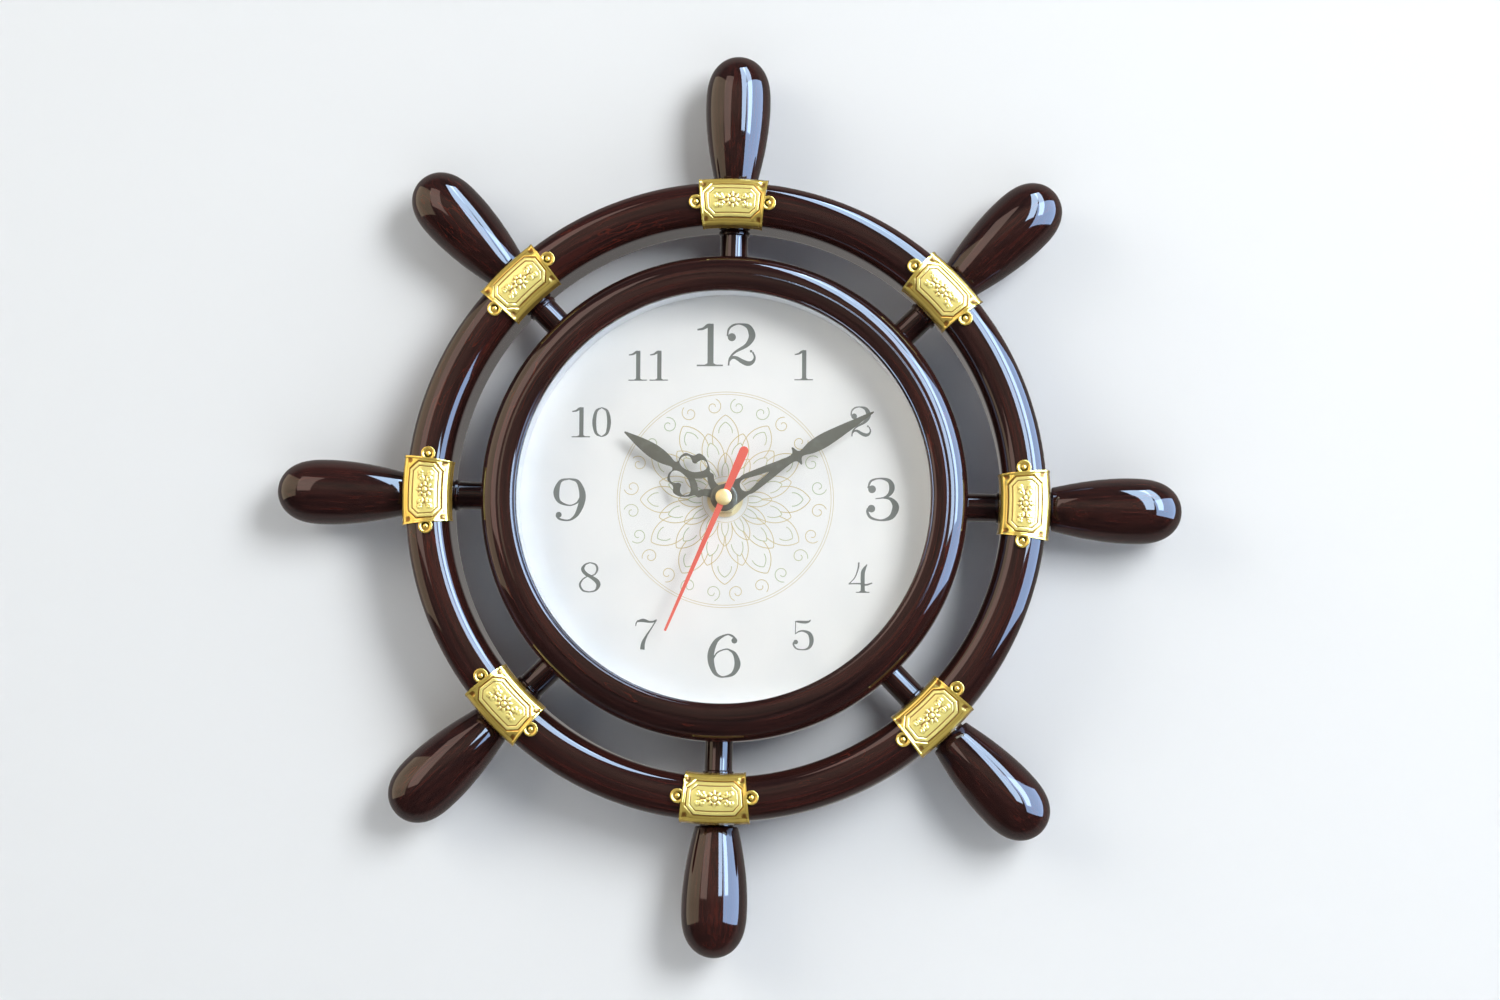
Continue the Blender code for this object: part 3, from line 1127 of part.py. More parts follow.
def build_wheel(frame, paints):
    """The ring with its spokes, handles and plaques."""
    place("wheel_ring", mesh_of("wheel_ring", ring_piece(), paints["mahogany"]), frame)
    spoke = mesh_of("spoke", spoke_piece(), paints["mahogany"])
    handle = mesh_of("handle", handle_piece(), paints["mahogany"])
    plaque = mesh_of("plaque", plaque_piece(), paints["gilt"])
    for i in range(SPOKES):
        turn = -2 * math.pi * i / SPOKES
        place(f"spoke_{i + 1}", spoke, frame, turn=math.pi / 2 + turn)
        place(f"handle_{i + 1}", handle, frame, turn=math.pi / 2 + turn)
        place(f"plaque_{i + 1}", plaque, frame, turn=turn)


def build_case(frame, paints):
    """The drum with its bezel, lens, dial, hanger and screws."""
    place("case_drum", mesh_of("case_drum", case_piece(), paints["mahogany"]), frame)
    place("bezel_ring", mesh_of("bezel_ring", bezel_piece(), paints["mahogany"]), frame)
    place("lens", mesh_of("lens", lens_piece(), paints["clear"]), frame)
    place("dial_spacer", mesh_of("dial_spacer", spacer_piece(), paints["white"]), frame)
    place("dial_plate", mesh_of("dial_plate", dial_piece(), paints["white"]), frame)
    screw = mesh_of("screw", screw_piece(DIAL_REAR, SCREW_LENGTH), paints["steel"])
    for i, spot in enumerate(screw_places()):
        place(f"dial_screw_{i + 1}", screw, frame, axis=spot)
    place("hanger_plate", mesh_of("hanger_plate", hanger_piece(), paints["steel"]), frame)
    seat = WEB_SETBACK - GAP - HANGER_THICKNESS
    length = HANGER_THICKNESS + GAP + WEB_THICKNESS
    hanger_screw = mesh_of("hanger_screw", screw_piece(seat, length), paints["steel"])
    for i, x in enumerate((-HANGER_SCREW_SPACING / 2, HANGER_SCREW_SPACING / 2)):
        place(f"hanger_screw_{i + 1}", hanger_screw, frame, axis=(x, hanger_span()[2]))


def build_hands(frame, paints):
    """The three hands, each on the clock's own axis."""
    hands = {
        "hour_hand": (hour_hand_piece(), "olive", HOUR_REST),
        "minute_hand": (minute_hand_piece(), "olive", MINUTE_REST),
        "second_hand": (second_hand_piece(), "red", SECOND_REST),
    }
    for name, (body, paint, rest) in hands.items():
        place(name, mesh_of(name, body, paints[paint]), frame, turn=-rest)


def build_movement(frame, paints):
    """The quartz movement: housing, fixing nut, gear train, motor, electronics and battery."""
    phases = train_phases()
    fixed = {
        "hex_nut": (nut_piece(), "brass"),
        "dial_washer": (washer_piece(), "brass"),
        "movement_case": (movement_case_piece(), "black"),
        "movement_cover": (movement_cover_piece(), "black"),
        "stator": (stator_piece(), "steel"),
        "coil": (coil_piece(), "copper"),
        "circuit_board": (board_piece(), "green"),
        "quartz_crystal": (crystal_piece(), "steel"),
        "battery": (battery_piece(), "black"),
        "contact_negative": (contact_piece(-1), "steel"),
        "contact_positive": (contact_piece(1), "steel"),
    }
    turning = {
        "second_wheel": (second_wheel_piece(phases), CENTRE),
        "center_wheel": (center_wheel_piece(phases), CENTRE),
        "minute_pipe": (minute_pipe_piece(phases), CENTRE),
        "hour_wheel": (hour_wheel_piece(phases), CENTRE),
        "third_wheel": (third_wheel_piece(phases), THIRD_AXIS),
        "minute_wheel": (minute_wheel_piece(phases), MINUTE_WHEEL_AXIS),
        "step_wheel": (step_wheel_piece(phases), STEP_AXIS),
        "rotor": (rotor_piece(phases), ROTOR_AXIS),
        "setting_knob": (knob_piece(phases), KNOB_AXIS),
    }
    for name, (body, paint) in fixed.items():
        place(name, mesh_of(name, body, paints[paint]), frame)
    for name, (body, axis) in turning.items():
        place(name, mesh_of(name, body, paints["resin"]), frame, axis=axis)


def main():
    """Clears the scene, then builds the clock under its turned frame."""
    for old in list(bpy.data.objects):
        bpy.data.objects.remove(old)
    paints = {
        "mahogany": new_material("mahogany_gloss", (0.060, 0.012, 0.010), 0.12),
        "gilt": new_material("gilt", (0.83, 0.58, 0.16), 0.18, 1.0),
        "white": new_material("dial_white", (0.93, 0.94, 0.93), 0.45),
        "clear": new_material("clear_acrylic", (0.95, 0.97, 0.98), 0.03, 0.0, 0.12),
        "olive": new_material("hand_olive", (0.13, 0.13, 0.11), 0.35),
        "red": new_material("hand_red", (0.90, 0.16, 0.11), 0.40),
        "steel": new_material("zinc_steel", (0.62, 0.62, 0.64), 0.30, 1.0),
        "brass": new_material("brass", (0.78, 0.60, 0.26), 0.25, 1.0),
        "black": new_material("black_resin", (0.02, 0.02, 0.02), 0.45),
        "resin": new_material("gear_resin", (0.85, 0.84, 0.80), 0.50),
        "copper": new_material("copper_winding", (0.70, 0.32, 0.14), 0.35, 1.0),
        "green": new_material("board_green", (0.03, 0.22, 0.08), 0.50),
    }
    frame = bpy.data.objects.new("clock_frame", None)
    frame.location = (0, 0, -HANGER_RISE)
    frame.rotation_euler = (math.pi / 2, 0, 0)
    bpy.context.scene.collection.objects.link(frame)
    build_wheel(frame, paints)
    build_case(frame, paints)
    build_hands(frame, paints)
    build_movement(frame, paints)


main()
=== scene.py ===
import logging
import math
from collections.abc import Callable, Iterable
from dataclasses import dataclass
from enum import Enum
from typing import Union

import bpy
import numpy as np
from mathutils import Matrix, Vector
from mathutils.geometry import tessellate_polygon


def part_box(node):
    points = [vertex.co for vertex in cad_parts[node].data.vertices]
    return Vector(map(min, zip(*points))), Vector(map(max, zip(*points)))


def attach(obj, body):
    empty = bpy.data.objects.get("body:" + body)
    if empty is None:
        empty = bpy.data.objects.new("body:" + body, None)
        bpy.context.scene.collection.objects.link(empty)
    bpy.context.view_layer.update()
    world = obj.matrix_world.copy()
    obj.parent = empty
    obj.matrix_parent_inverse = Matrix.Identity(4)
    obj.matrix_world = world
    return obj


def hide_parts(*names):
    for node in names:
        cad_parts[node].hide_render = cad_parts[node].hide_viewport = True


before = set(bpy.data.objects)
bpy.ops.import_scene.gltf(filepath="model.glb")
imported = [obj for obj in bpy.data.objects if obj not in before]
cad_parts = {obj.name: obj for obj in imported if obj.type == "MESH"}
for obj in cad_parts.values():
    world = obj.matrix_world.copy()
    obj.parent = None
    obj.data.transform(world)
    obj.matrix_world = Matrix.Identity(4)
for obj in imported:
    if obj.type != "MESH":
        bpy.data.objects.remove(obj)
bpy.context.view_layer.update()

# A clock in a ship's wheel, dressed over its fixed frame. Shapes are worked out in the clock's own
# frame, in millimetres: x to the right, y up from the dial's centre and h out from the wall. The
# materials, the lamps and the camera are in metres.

LOG = logging.getLogger("wheel_clock")
MM = 0.001
AXIS_HEIGHT = -0.087  # of the dial's centre, in metres
SPOKES = 8
SECTOR = 2 * math.pi / SPOKES
ON_AXIS = 0.01  # the radius at which a turned profile ends on its own axis
OCTAGON = (11.5, 6.8, 15.0)  # a plaque's panel: half its length and width, x + y at its cut corners
ROOT = "clock_body"

Pair = tuple[float, float]
Triple = tuple[float, float, float]
Colour = Triple
Places = float | np.ndarray
Number = Union[float, "Link"]


class Slot(Enum):
    """The record's material slots; each new piece is given one, which its building doesn't read."""

    WOOD = "mahogany_wood"
    GLOSS = "mahogany_gloss"
    GILT = "gilt"
    LENS = "clear_lens"
    DIAL = "dial_white"
    OLIVE = "hand_olive"
    RED = "hand_red"
    RESIN = "black_resin"


# Lines and profiles


def around(count: int) -> np.ndarray:
    """Gives evenly spaced angles of one whole turn."""
    return np.linspace(0, 2 * np.pi, count, endpoint=False)


def polar(radius: Places, angle: Places) -> list[np.ndarray]:
    """Gives x and y: radius cos(angle) and radius sin(angle)."""
    return [radius * np.cos(angle), radius * np.sin(angle)]


def arc(radius: Places, angle: np.ndarray) -> np.ndarray:
    """Gives rows of (radius cos(angle), radius sin(angle))."""
    return np.column_stack(polar(radius, angle))


def running(path: np.ndarray) -> np.ndarray:
    """Gives each point's distance from the first, along the path."""
    return np.concatenate([[0.0], np.cumsum(np.linalg.norm(np.diff(path, axis=0), axis=1))])


def hump(distance: np.ndarray, width: float, power: float = 2) -> np.ndarray:
    """Gives exp(-(distance / width)^power), which is 1 at no distance."""
    return np.exp(-((distance / width) ** power))


def rising(distance: np.ndarray, width: float) -> np.ndarray:
    """Gives 0.5 + 0.5 tanh(distance / width), which rises from 0 to 1."""
    return 0.5 + 0.5 * np.tanh(distance / width)


def spiral(
    centre: Iterable[float], size: float, shrink: float, start: float, sweep: float, steps: int = 61
) -> np.ndarray:
    """Draws a curl round a centre, of radius size (1 - shrink t) at the angle start + sweep t."""
    t = np.linspace(0, 1, steps)
    return arc(size * (1 - shrink * t), start + sweep * t) + centre


def curve_through(knots: np.ndarray, steps: int, closed: bool = False) -> np.ndarray:
    """Draws a Catmull-Rom curve: the cubic through each pair of knots with their neighbours' slope.

    Args:
        knots: Rows of any number of coordinates.
        steps: Points for each stretch between knots.
        closed: True where the last knot leads back to the first.

    Returns:
        The curve's points, with the last knot where it isn't closed.
    """
    if closed:
        row = np.concatenate([knots[-1:], knots, knots[:2]])
    else:
        row = np.concatenate([2 * knots[:1] - knots[1:2], knots, 2 * knots[-1:] - knots[-2:-1]])
    a, b, c, d = (row[i:len(row) - 3 + i, None, :] for i in range(4))
    t = np.linspace(0, 1, steps, endpoint=False)[None, :, None]
    bend = (2 * a - 5 * b + 4 * c - d) * t**2 + (3 * b - a - 3 * c + d) * t**3
    points = (0.5 * (2 * b + (c - a) * t + bend)).reshape(-1, knots.shape[1])
    return points if closed else np.concatenate([points, knots[-1:]])


def normals_of(line: np.ndarray, closed: bool) -> np.ndarray:
    """Gives a line's unit normals, square to the chord between each point's neighbours.

    Args:
        line: Rows of (x, y).
        closed: True where the last point leads back to the first.

    Returns:
        Rows of (x, y), which point to the left of the way along the line.
    """
    chord = np.roll(line, -1, 0) - np.roll(line, 1, 0) if closed else np.gradient(line, axis=0)
    chord = chord / np.maximum(np.linalg.norm(chord, axis=1, keepdims=True), 1e-9)
    return np.stack([-chord[:, 1], chord[:, 0]], axis=1)


def rounded(corners: Iterable[Triple], steps: int = 6, closed: bool = True) -> np.ndarray:
    """Draws a path whose corners are rounded by a quadratic through its tangents.

    Args:
        corners: Rows of (a, b, radius).
        steps: Points for each corner.
        closed: True where the last corner leads back to the first.

    Returns:
        Rows of (a, b), with no point twice.
    """
    spots = np.array(corners)
    place, radius = spots[:, :2], spots[:, 2:]
    before, after = np.roll(place, 1, 0) - place, np.roll(place, -1, 0) - place
    before /= np.linalg.norm(before, axis=1, keepdims=True)
    after /= np.linalg.norm(after, axis=1, keepdims=True)
    if not closed:
        radius[[0, -1]] = 0
    t = np.linspace(0, 1, steps)[None, :, None]
    start, end = (place + side * radius for side in (before, after))
    start, corner, end = start[:, None], place[:, None], end[:, None]
    path = (start * (1 - t) ** 2 + 2 * corner * t * (1 - t) + end * t**2).reshape(-1, 2)
    same = 1e-4
    path = path[np.concatenate([[True], np.linalg.norm(np.diff(path, axis=0), axis=1) > same])]
    return path[:-1] if closed and np.linalg.norm(path[0] - path[-1]) < same else path


def block(low: Iterable[float], high: Iterable[float], radius: float) -> np.ndarray:
    """Draws a box between two corners, with its corners rounded.

    Args:
        low, high: Its lowest and its highest (a, b).
        radius: How far the rounding reaches from each corner.

    Returns:
        Rows of (a, b), anticlockwise.
    """
    (left, down), (right, up) = low, high
    corners = ((left, down), (right, down), (right, up), (left, up))
    return rounded([(*corner, radius) for corner in corners])


def dense(path: np.ndarray, spacing: float) -> np.ndarray:
    """Adds points along an open path, by even shares of each of its stretches.

    Args:
        path: Rows of two places.
        spacing: The furthest apart that neighbours may be.

    Returns:
        The rows of the denser path.
    """
    pieces = np.maximum(1, np.ceil(np.diff(running(path)) / spacing)).astype(int)
    start = np.repeat(np.arange(len(pieces)), pieces)
    share = np.concatenate([np.arange(count) / count for count in pieces])[:, None]
    return np.concatenate([path[start] * (1 - share) + path[start + 1] * share, path[-1:]])


def crown(outer: float, inner: float, base: float, rise: float, turn: np.ndarray) -> np.ndarray:
    """Draws a superellipse over a hoop: (middle + half cos^(2/2.4), base + rise sin^(2/2.4)).

    Args:
        outer, inner: The hoop's radii, which give the middle and half of its width.
        base: The h at its sides.
        rise: How far it stands over the base.
        turn: The angles of its points.

    Returns:
        Rows of (radius, h).
    """
    cos, sin = polar(1.0, turn)
    power = 2 / 2.4
    radius = (outer + inner) / 2 + (outer - inner) / 2 * np.sign(cos) * np.abs(cos) ** power
    return np.column_stack([radius, base + rise * np.abs(sin) ** power])


def domed(
    radius: float, foot: float, spring: float, rise: float, steps: int, power: float = 1.0
) -> np.ndarray:
    """Draws a pin with a dome over it: (radius cos(t)^power, spring + rise sin(t)).

    Args:
        radius: The pin's radius.
        foot: The h of its foot.
        spring: The h at which the dome starts.
        rise: How high the dome is.
        steps: Points of the dome.
        power: Less than 1 for a fuller dome.

    Returns:
        Rows of (radius, h).
    """
    cos, sin = polar(1.0, np.linspace(0, np.pi / 2, steps))
    dome = np.column_stack([radius * cos**power, spring + rise * sin])
    dome[-1, 0] = ON_AXIS
    return np.concatenate([[(ON_AXIS, foot), (radius, foot)], dome])


def scored(
    profile: np.ndarray, cuts: Iterable[Triple], ledge: Triple, fade_over: float = 2.5
) -> np.ndarray:
    """Sinks lines and a ledge into an open profile along its normals.

    Args:
        profile: Rows of (radius, h).
        cuts: Rows of (place along the profile, depth, half width); each is a hump.
        ledge: The same for the ledge: before its place the profile sinks by the depth.
        fade_over: The length over which the ledge fades out towards the start.

    Returns:
        The scored profile.
    """
    along = running(profile)
    depth = sum(deep * hump(along - place, half) for place, deep, half in cuts)
    place, deep, half = ledge
    depth += deep * (1 - hump(along, fade_over)) * rising(place - along, half)
    return profile + normals_of(profile, False) * depth[:, None]


# Surfaces


@dataclass
class Skin:
    """A closed surface.

    points holds rows of (x, y, h) and faces holds arrays of point numbers. grain holds for each
    point where it lies in its own pattern: in wood two places across the fibres and two along
    them, and on a pressed plate its place on the plate, how far it stands out and the depth of
    the hollow that it is in.
    """

    points: np.ndarray
    faces: list[np.ndarray]
    grain: np.ndarray | None = None

    def outward(self) -> "Skin":
        """Turns the faces round where the signed volume, a sum of tetrahedra, is negative.

        Returns:
            The skin itself.
        """
        volume = 0.0
        for faces in self.faces:
            corner = self.points[faces[:, 0]]
            for i in range(1, faces.shape[1] - 1):
                cross = np.cross(self.points[faces[:, i]], self.points[faces[:, i + 1]])
                volume += float(np.einsum("ij,ij->", corner, cross))
        if volume < 0:
            self.faces = [faces[:, ::-1] for faces in self.faces]
        return self

    def turned(self, angle: float) -> "Skin":
        """Turns it about the clock's axis: (x cos - y sin, x sin + y cos, h).

        Args:
            angle: In radians, anticlockwise from the front.

        Returns:
            A turned copy with the same grain.
        """
        cos, sin = math.cos(angle), math.sin(angle)
        x, y, h = self.points.T
        points = np.stack([x * cos - y * sin, x * sin + y * cos, h], axis=1)
        return Skin(points, self.faces, self.grain)


def tube(sections: np.ndarray, ends_meet: bool = False, grain: np.ndarray | None = None) -> Skin:
    """Skins a row of closed sections.

    Args:
        sections: Points in an array of (section, place round it, coordinate).
        ends_meet: True where the last section leads back to the first, or else both ends are
            closed by a fan of triangles about the middle of their section.
        grain: Grain rows for the same points.

    Returns:
        The closed skin.
    """
    rows, columns = sections.shape[:2]
    number = np.arange(rows * columns).reshape(rows, columns)
    here, ahead = (number, np.roll(number, -1, axis=0)) if ends_meet else (number[:-1], number[1:])
    quads = np.stack([here, np.roll(here, -1, 1), np.roll(ahead, -1, 1), ahead], axis=-1)
    points, faces = sections.reshape(-1, 3), [quads.reshape(-1, 4)]
    grains = None if grain is None else grain.reshape(-1, 4)
    if not ends_meet:
        points = np.concatenate([points, sections[[0, -1]].mean(1)])
        if grains is not None:
            grains = np.concatenate([grains, grain[[0, -1]].mean(1)])
        hub, first, last = np.full(columns, rows * columns), number[0], number[-1]
        faces.append(np.stack([np.roll(first, -1), first, hub], axis=1))
        faces.append(np.stack([hub + 1, last, np.roll(last, -1)], axis=1))
    return Skin(points, faces, grains).outward()


def hoop(profile: np.ndarray, count: int) -> Skin:
    """Turns a closed profile about the clock's axis: a point is (r cos t, r sin t, h).

    Its grain runs round the hoop: r and h across it, and along it the place on a circle of the
    profile's middle radius, so the grain has no seam.

    Args:
        profile: Rows of (radius, h).
        count: Sections round the hoop.

    Returns:
        The closed skin.
    """
    turn = around(count)[:, None]
    radius, height = profile[None, :, 0], profile[None, :, 1] + 0 * turn
    middle = profile[:, 0].mean() + 0 * radius
    grain = np.stack([radius + 0 * turn, height, *polar(middle, turn)], axis=-1)
    return tube(np.stack([*polar(radius, turn), height], axis=-1), True, grain)


def arm(profile: np.ndarray, height: float, count: int, seed: float) -> Skin:
    """Turns an open profile about a radial axis: a point is (a, r cos t, height + r sin t).

    Args:
        profile: Rows of (distance a from the clock's axis, radius r).
        height: The h of the radial axis.
        count: Points round each section.
        seed: Where the arm's grain, which runs along it, lies in the wood.

    Returns:
        The closed skin, which points along x.
    """
    along = profile[:, :1] + np.zeros(count)
    side, rise = polar(profile[:, 1:], around(count)[None, :])
    grain = np.stack([side, rise, along, seed + 0 * along], axis=-1)
    return tube(np.stack([along, side, height + rise], axis=-1), False, grain)


def post(profile: np.ndarray, count: int, centre: Iterable[float] = (0.0, 0.0)) -> Skin:
    """Turns an open profile about an axis square to the dial: (x + r cos t, y + r sin t, h).

    Args:
        profile: Rows of (radius r, h).
        count: Points round each section.
        centre: The axis's x and y.

    Returns:
        The closed skin.
    """
    x, y = polar(profile[:, :1], around(count)[None, :])
    left, up = centre
    return tube(np.stack([x + left, y + up, profile[:, 1:] + 0 * x], axis=-1))


def stroke(path: np.ndarray, width: Places, low: float, high: float) -> Skin:
    """Lays a flat ribbon along a path: its edges are path + and - normal width / 2.

    Args:
        path: Rows of (x, y) in its middle.
        width: One width or one for each row; half of it lies to each side.
        low, high: The h of its rear and of its front.

    Returns:
        The closed skin.
    """
    side = normals_of(path, False) * np.reshape(width, (-1, 1)) / 2
    edges = ((path + side, low), (path - side, low), (path - side, high), (path + side, high))
    raised = [np.column_stack([edge, np.full(len(edge), h)]) for edge, h in edges]
    return tube(np.stack(raised, axis=1))


def slab(loops: list[np.ndarray], levels: tuple[Pair, ...]) -> Skin:
    """Raises a flat plate with holes.

    Args:
        loops: The outline and then the holes, each rows of (x, y); each loop is drawn in towards
            the plate's material by a level's inset along its normals.
        levels: Pairs of (inset, h) from the rear face to the front face.

    Returns:
        The closed skin: sides are quads between levels, and both faces are filled with triangles.
    """
    rings, sides, start = [], [], 0
    size = sum(len(loop) for loop in loops)
    for order, loop in enumerate(loops):
        x, y = loop.T
        solid_left = (float(np.sum(x * np.roll(y, -1) - y * np.roll(x, -1))) > 0) == (order == 0)
        inward = normals_of(loop, True) * (1 if solid_left else -1)
        rings.append([loop + inward * inset for inset, _ in levels])
        number = start + np.arange(len(loop))
        for level in range(len(levels) - 1):
            low, high = number + level * size, number + (level + 1) * size
            quad = np.stack([low, np.roll(low, -1), np.roll(high, -1), high], axis=1)
            sides.append(quad if solid_left else quad[:, ::-1])
        start += len(loop)
    layers = []
    for level, (_, height) in enumerate(levels):
        flat = np.concatenate([ring[level] for ring in rings])
        layers.append(np.column_stack([flat, np.full(size, height)]))
    front = [[(*point, 0.0) for point in ring[-1].tolist()] for ring in rings]
    filled = np.array(tessellate_polygon(front))
    corner = layers[-1][filled][:, :, :2]
    a, b = corner[:, 1] - corner[:, 0], corner[:, 2] - corner[:, 0]
    clockwise = a[:, 0] * b[:, 1] - a[:, 1] * b[:, 0] < 0
    filled[clockwise] = filled[clockwise][:, ::-1]
    faces = [np.concatenate(sides), filled + (len(levels) - 1) * size, filled[:, ::-1]]
    return Skin(np.concatenate(layers), faces).outward()


def sheet(front: np.ndarray, rear: np.ndarray, grain: np.ndarray) -> Skin:
    """Closes two grids of points with a strip of quads at their edge.

    Args:
        front, rear: Grids of the same shape, in arrays of (row, column, coordinate).
        grain: Grain rows for one grid, which both take.

    Returns:
        The closed skin.
    """
    rows, columns = front.shape[:2]
    number = np.arange(rows * columns).reshape(rows, columns)
    corners = [number[:-1, :-1], number[1:, :-1], number[1:, 1:], number[:-1, 1:]]
    quads = np.stack(corners, axis=-1).reshape(-1, 4)
    edge = np.concatenate([number[:-1, 0], number[-1, :-1], number[:0:-1, -1], number[0, :0:-1]])
    beyond, shift = np.roll(edge, -1), rows * columns
    strip = np.stack([beyond, edge, edge + shift, beyond + shift], axis=1)
    points = np.concatenate([front.reshape(-1, 3), rear.reshape(-1, 3)])
    grains = np.concatenate([grain.reshape(-1, 4)] * 2)
    return Skin(points, [quads, quads[:, ::-1] + shift, strip], grains).outward()


def placed(name: str, data: bpy.types.ID) -> bpy.types.Object:
    """Puts new data into the scene.

    Args:
        name: The object's name.
        data: Its mesh, lamp or camera.

    Returns:
        The new object, at the origin.
    """
    piece = bpy.data.objects.new(name, data)
    bpy.context.scene.collection.objects.link(piece)
    return piece


def make_piece(name: str, skins: list[Skin], crease: float) -> bpy.types.Object:
    """Puts skins into one mesh object at the origin.

    A point (x, y, h) of the clock in mm goes to (x, -h, y) of the frame in metres, with the dial's
    centre at AXIS_HEIGHT.

    Args:
        name: The piece's name.
        skins: Its closed surfaces.
        crease: Edges sharper than this many degrees are shaded sharp.

    Returns:
        The new object.
    """
    points = np.concatenate([skin.points for skin in skins])
    starts = np.cumsum([0] + [len(skin.points) for skin in skins])
    faces = [face + start for skin, start in zip(skins, starts) for face in skin.faces]
    sizes = np.concatenate([np.full(len(face), face.shape[1]) for face in faces])
    corners = np.concatenate([face.ravel() for face in faces])
    mesh = bpy.data.meshes.new(name)
    mesh.vertices.add(len(points))
    world = np.column_stack([points[:, 0], -points[:, 2], points[:, 1]]) * MM + (0, 0, AXIS_HEIGHT)
    mesh.vertices.foreach_set("co", world.astype(np.float32).ravel())
    mesh.loops.add(len(corners))
    mesh.loops.foreach_set("vertex_index", corners.astype(np.int32))
    mesh.polygons.add(len(sizes))
    begin = np.concatenate([[0], np.cumsum(sizes)[:-1]])
    mesh.polygons.foreach_set("loop_start", begin.astype(np.int32))
    mesh.polygons.foreach_set("use_smooth", np.ones(len(sizes), dtype=bool))
    if all(skin.grain is not None for skin in skins):
        grain = (np.concatenate([skin.grain for skin in skins]) * MM).astype(np.float32)
        place = mesh.attributes.new("grain", "FLOAT_VECTOR", "POINT")
        place.data.foreach_set("vector", np.ascontiguousarray(grain[:, :3]).ravel())
        fourth = mesh.attributes.new("grain_turn", "FLOAT", "POINT")
        fourth.data.foreach_set("value", np.ascontiguousarray(grain[:, 3]))
    mesh.update(calc_edges=True)
    mesh.validate()
    mesh.set_sharp_from_angle(angle=math.radians(crease))
    return placed(name, mesh)


def clock_box(node: str) -> list[Pair]:
    """Gives a node's lowest and highest (x, y) in the clock's own frame."""
    return [(corner.x / MM, (corner.z - AXIS_HEIGHT) / MM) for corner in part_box(node)]


# Shader maths


def operator(name: str, swapped: bool = False) -> Callable[["Link", Number], "Link"]:
    """Makes a method that adds a Math node on a link and another value.

    Args:
        name: The node's operation.
        swapped: True where the other value comes first.

    Returns:
        The method.
    """

    def method(self: "Link", other: Number) -> "Link":
        """Adds the node and gives its output."""
        return self.tree.math(name, *((other, self) if swapped else (self, other)))

    return method


@dataclass(eq=False)
class Link:
    """An output of a shader node; Python's operators on it add Math nodes to its tree."""

    tree: "ShaderTree"
    socket: bpy.types.NodeSocket

    __add__ = __radd__ = operator("ADD")
    __mul__ = __rmul__ = operator("MULTIPLY")
    __sub__, __rsub__ = operator("SUBTRACT"), operator("SUBTRACT", swapped=True)
    __truediv__, __pow__, __gt__ = operator("DIVIDE"), operator("POWER"), operator("GREATER_THAN")
    larger = operator("MAXIMUM")

    def __abs__(self) -> "Link":
        """Drops the sign."""
        return self.tree.math("ABSOLUTE", self)

    def smooth(self, start: float, end: float) -> "Link":
        """Rises smoothly from 0 at the start to 1 at the end."""
        values = {"Value": self, "From Min": start, "From Max": end}
        return self.tree.node("ShaderNodeMapRange", {"interpolation_type": "SMOOTHSTEP"}, values)


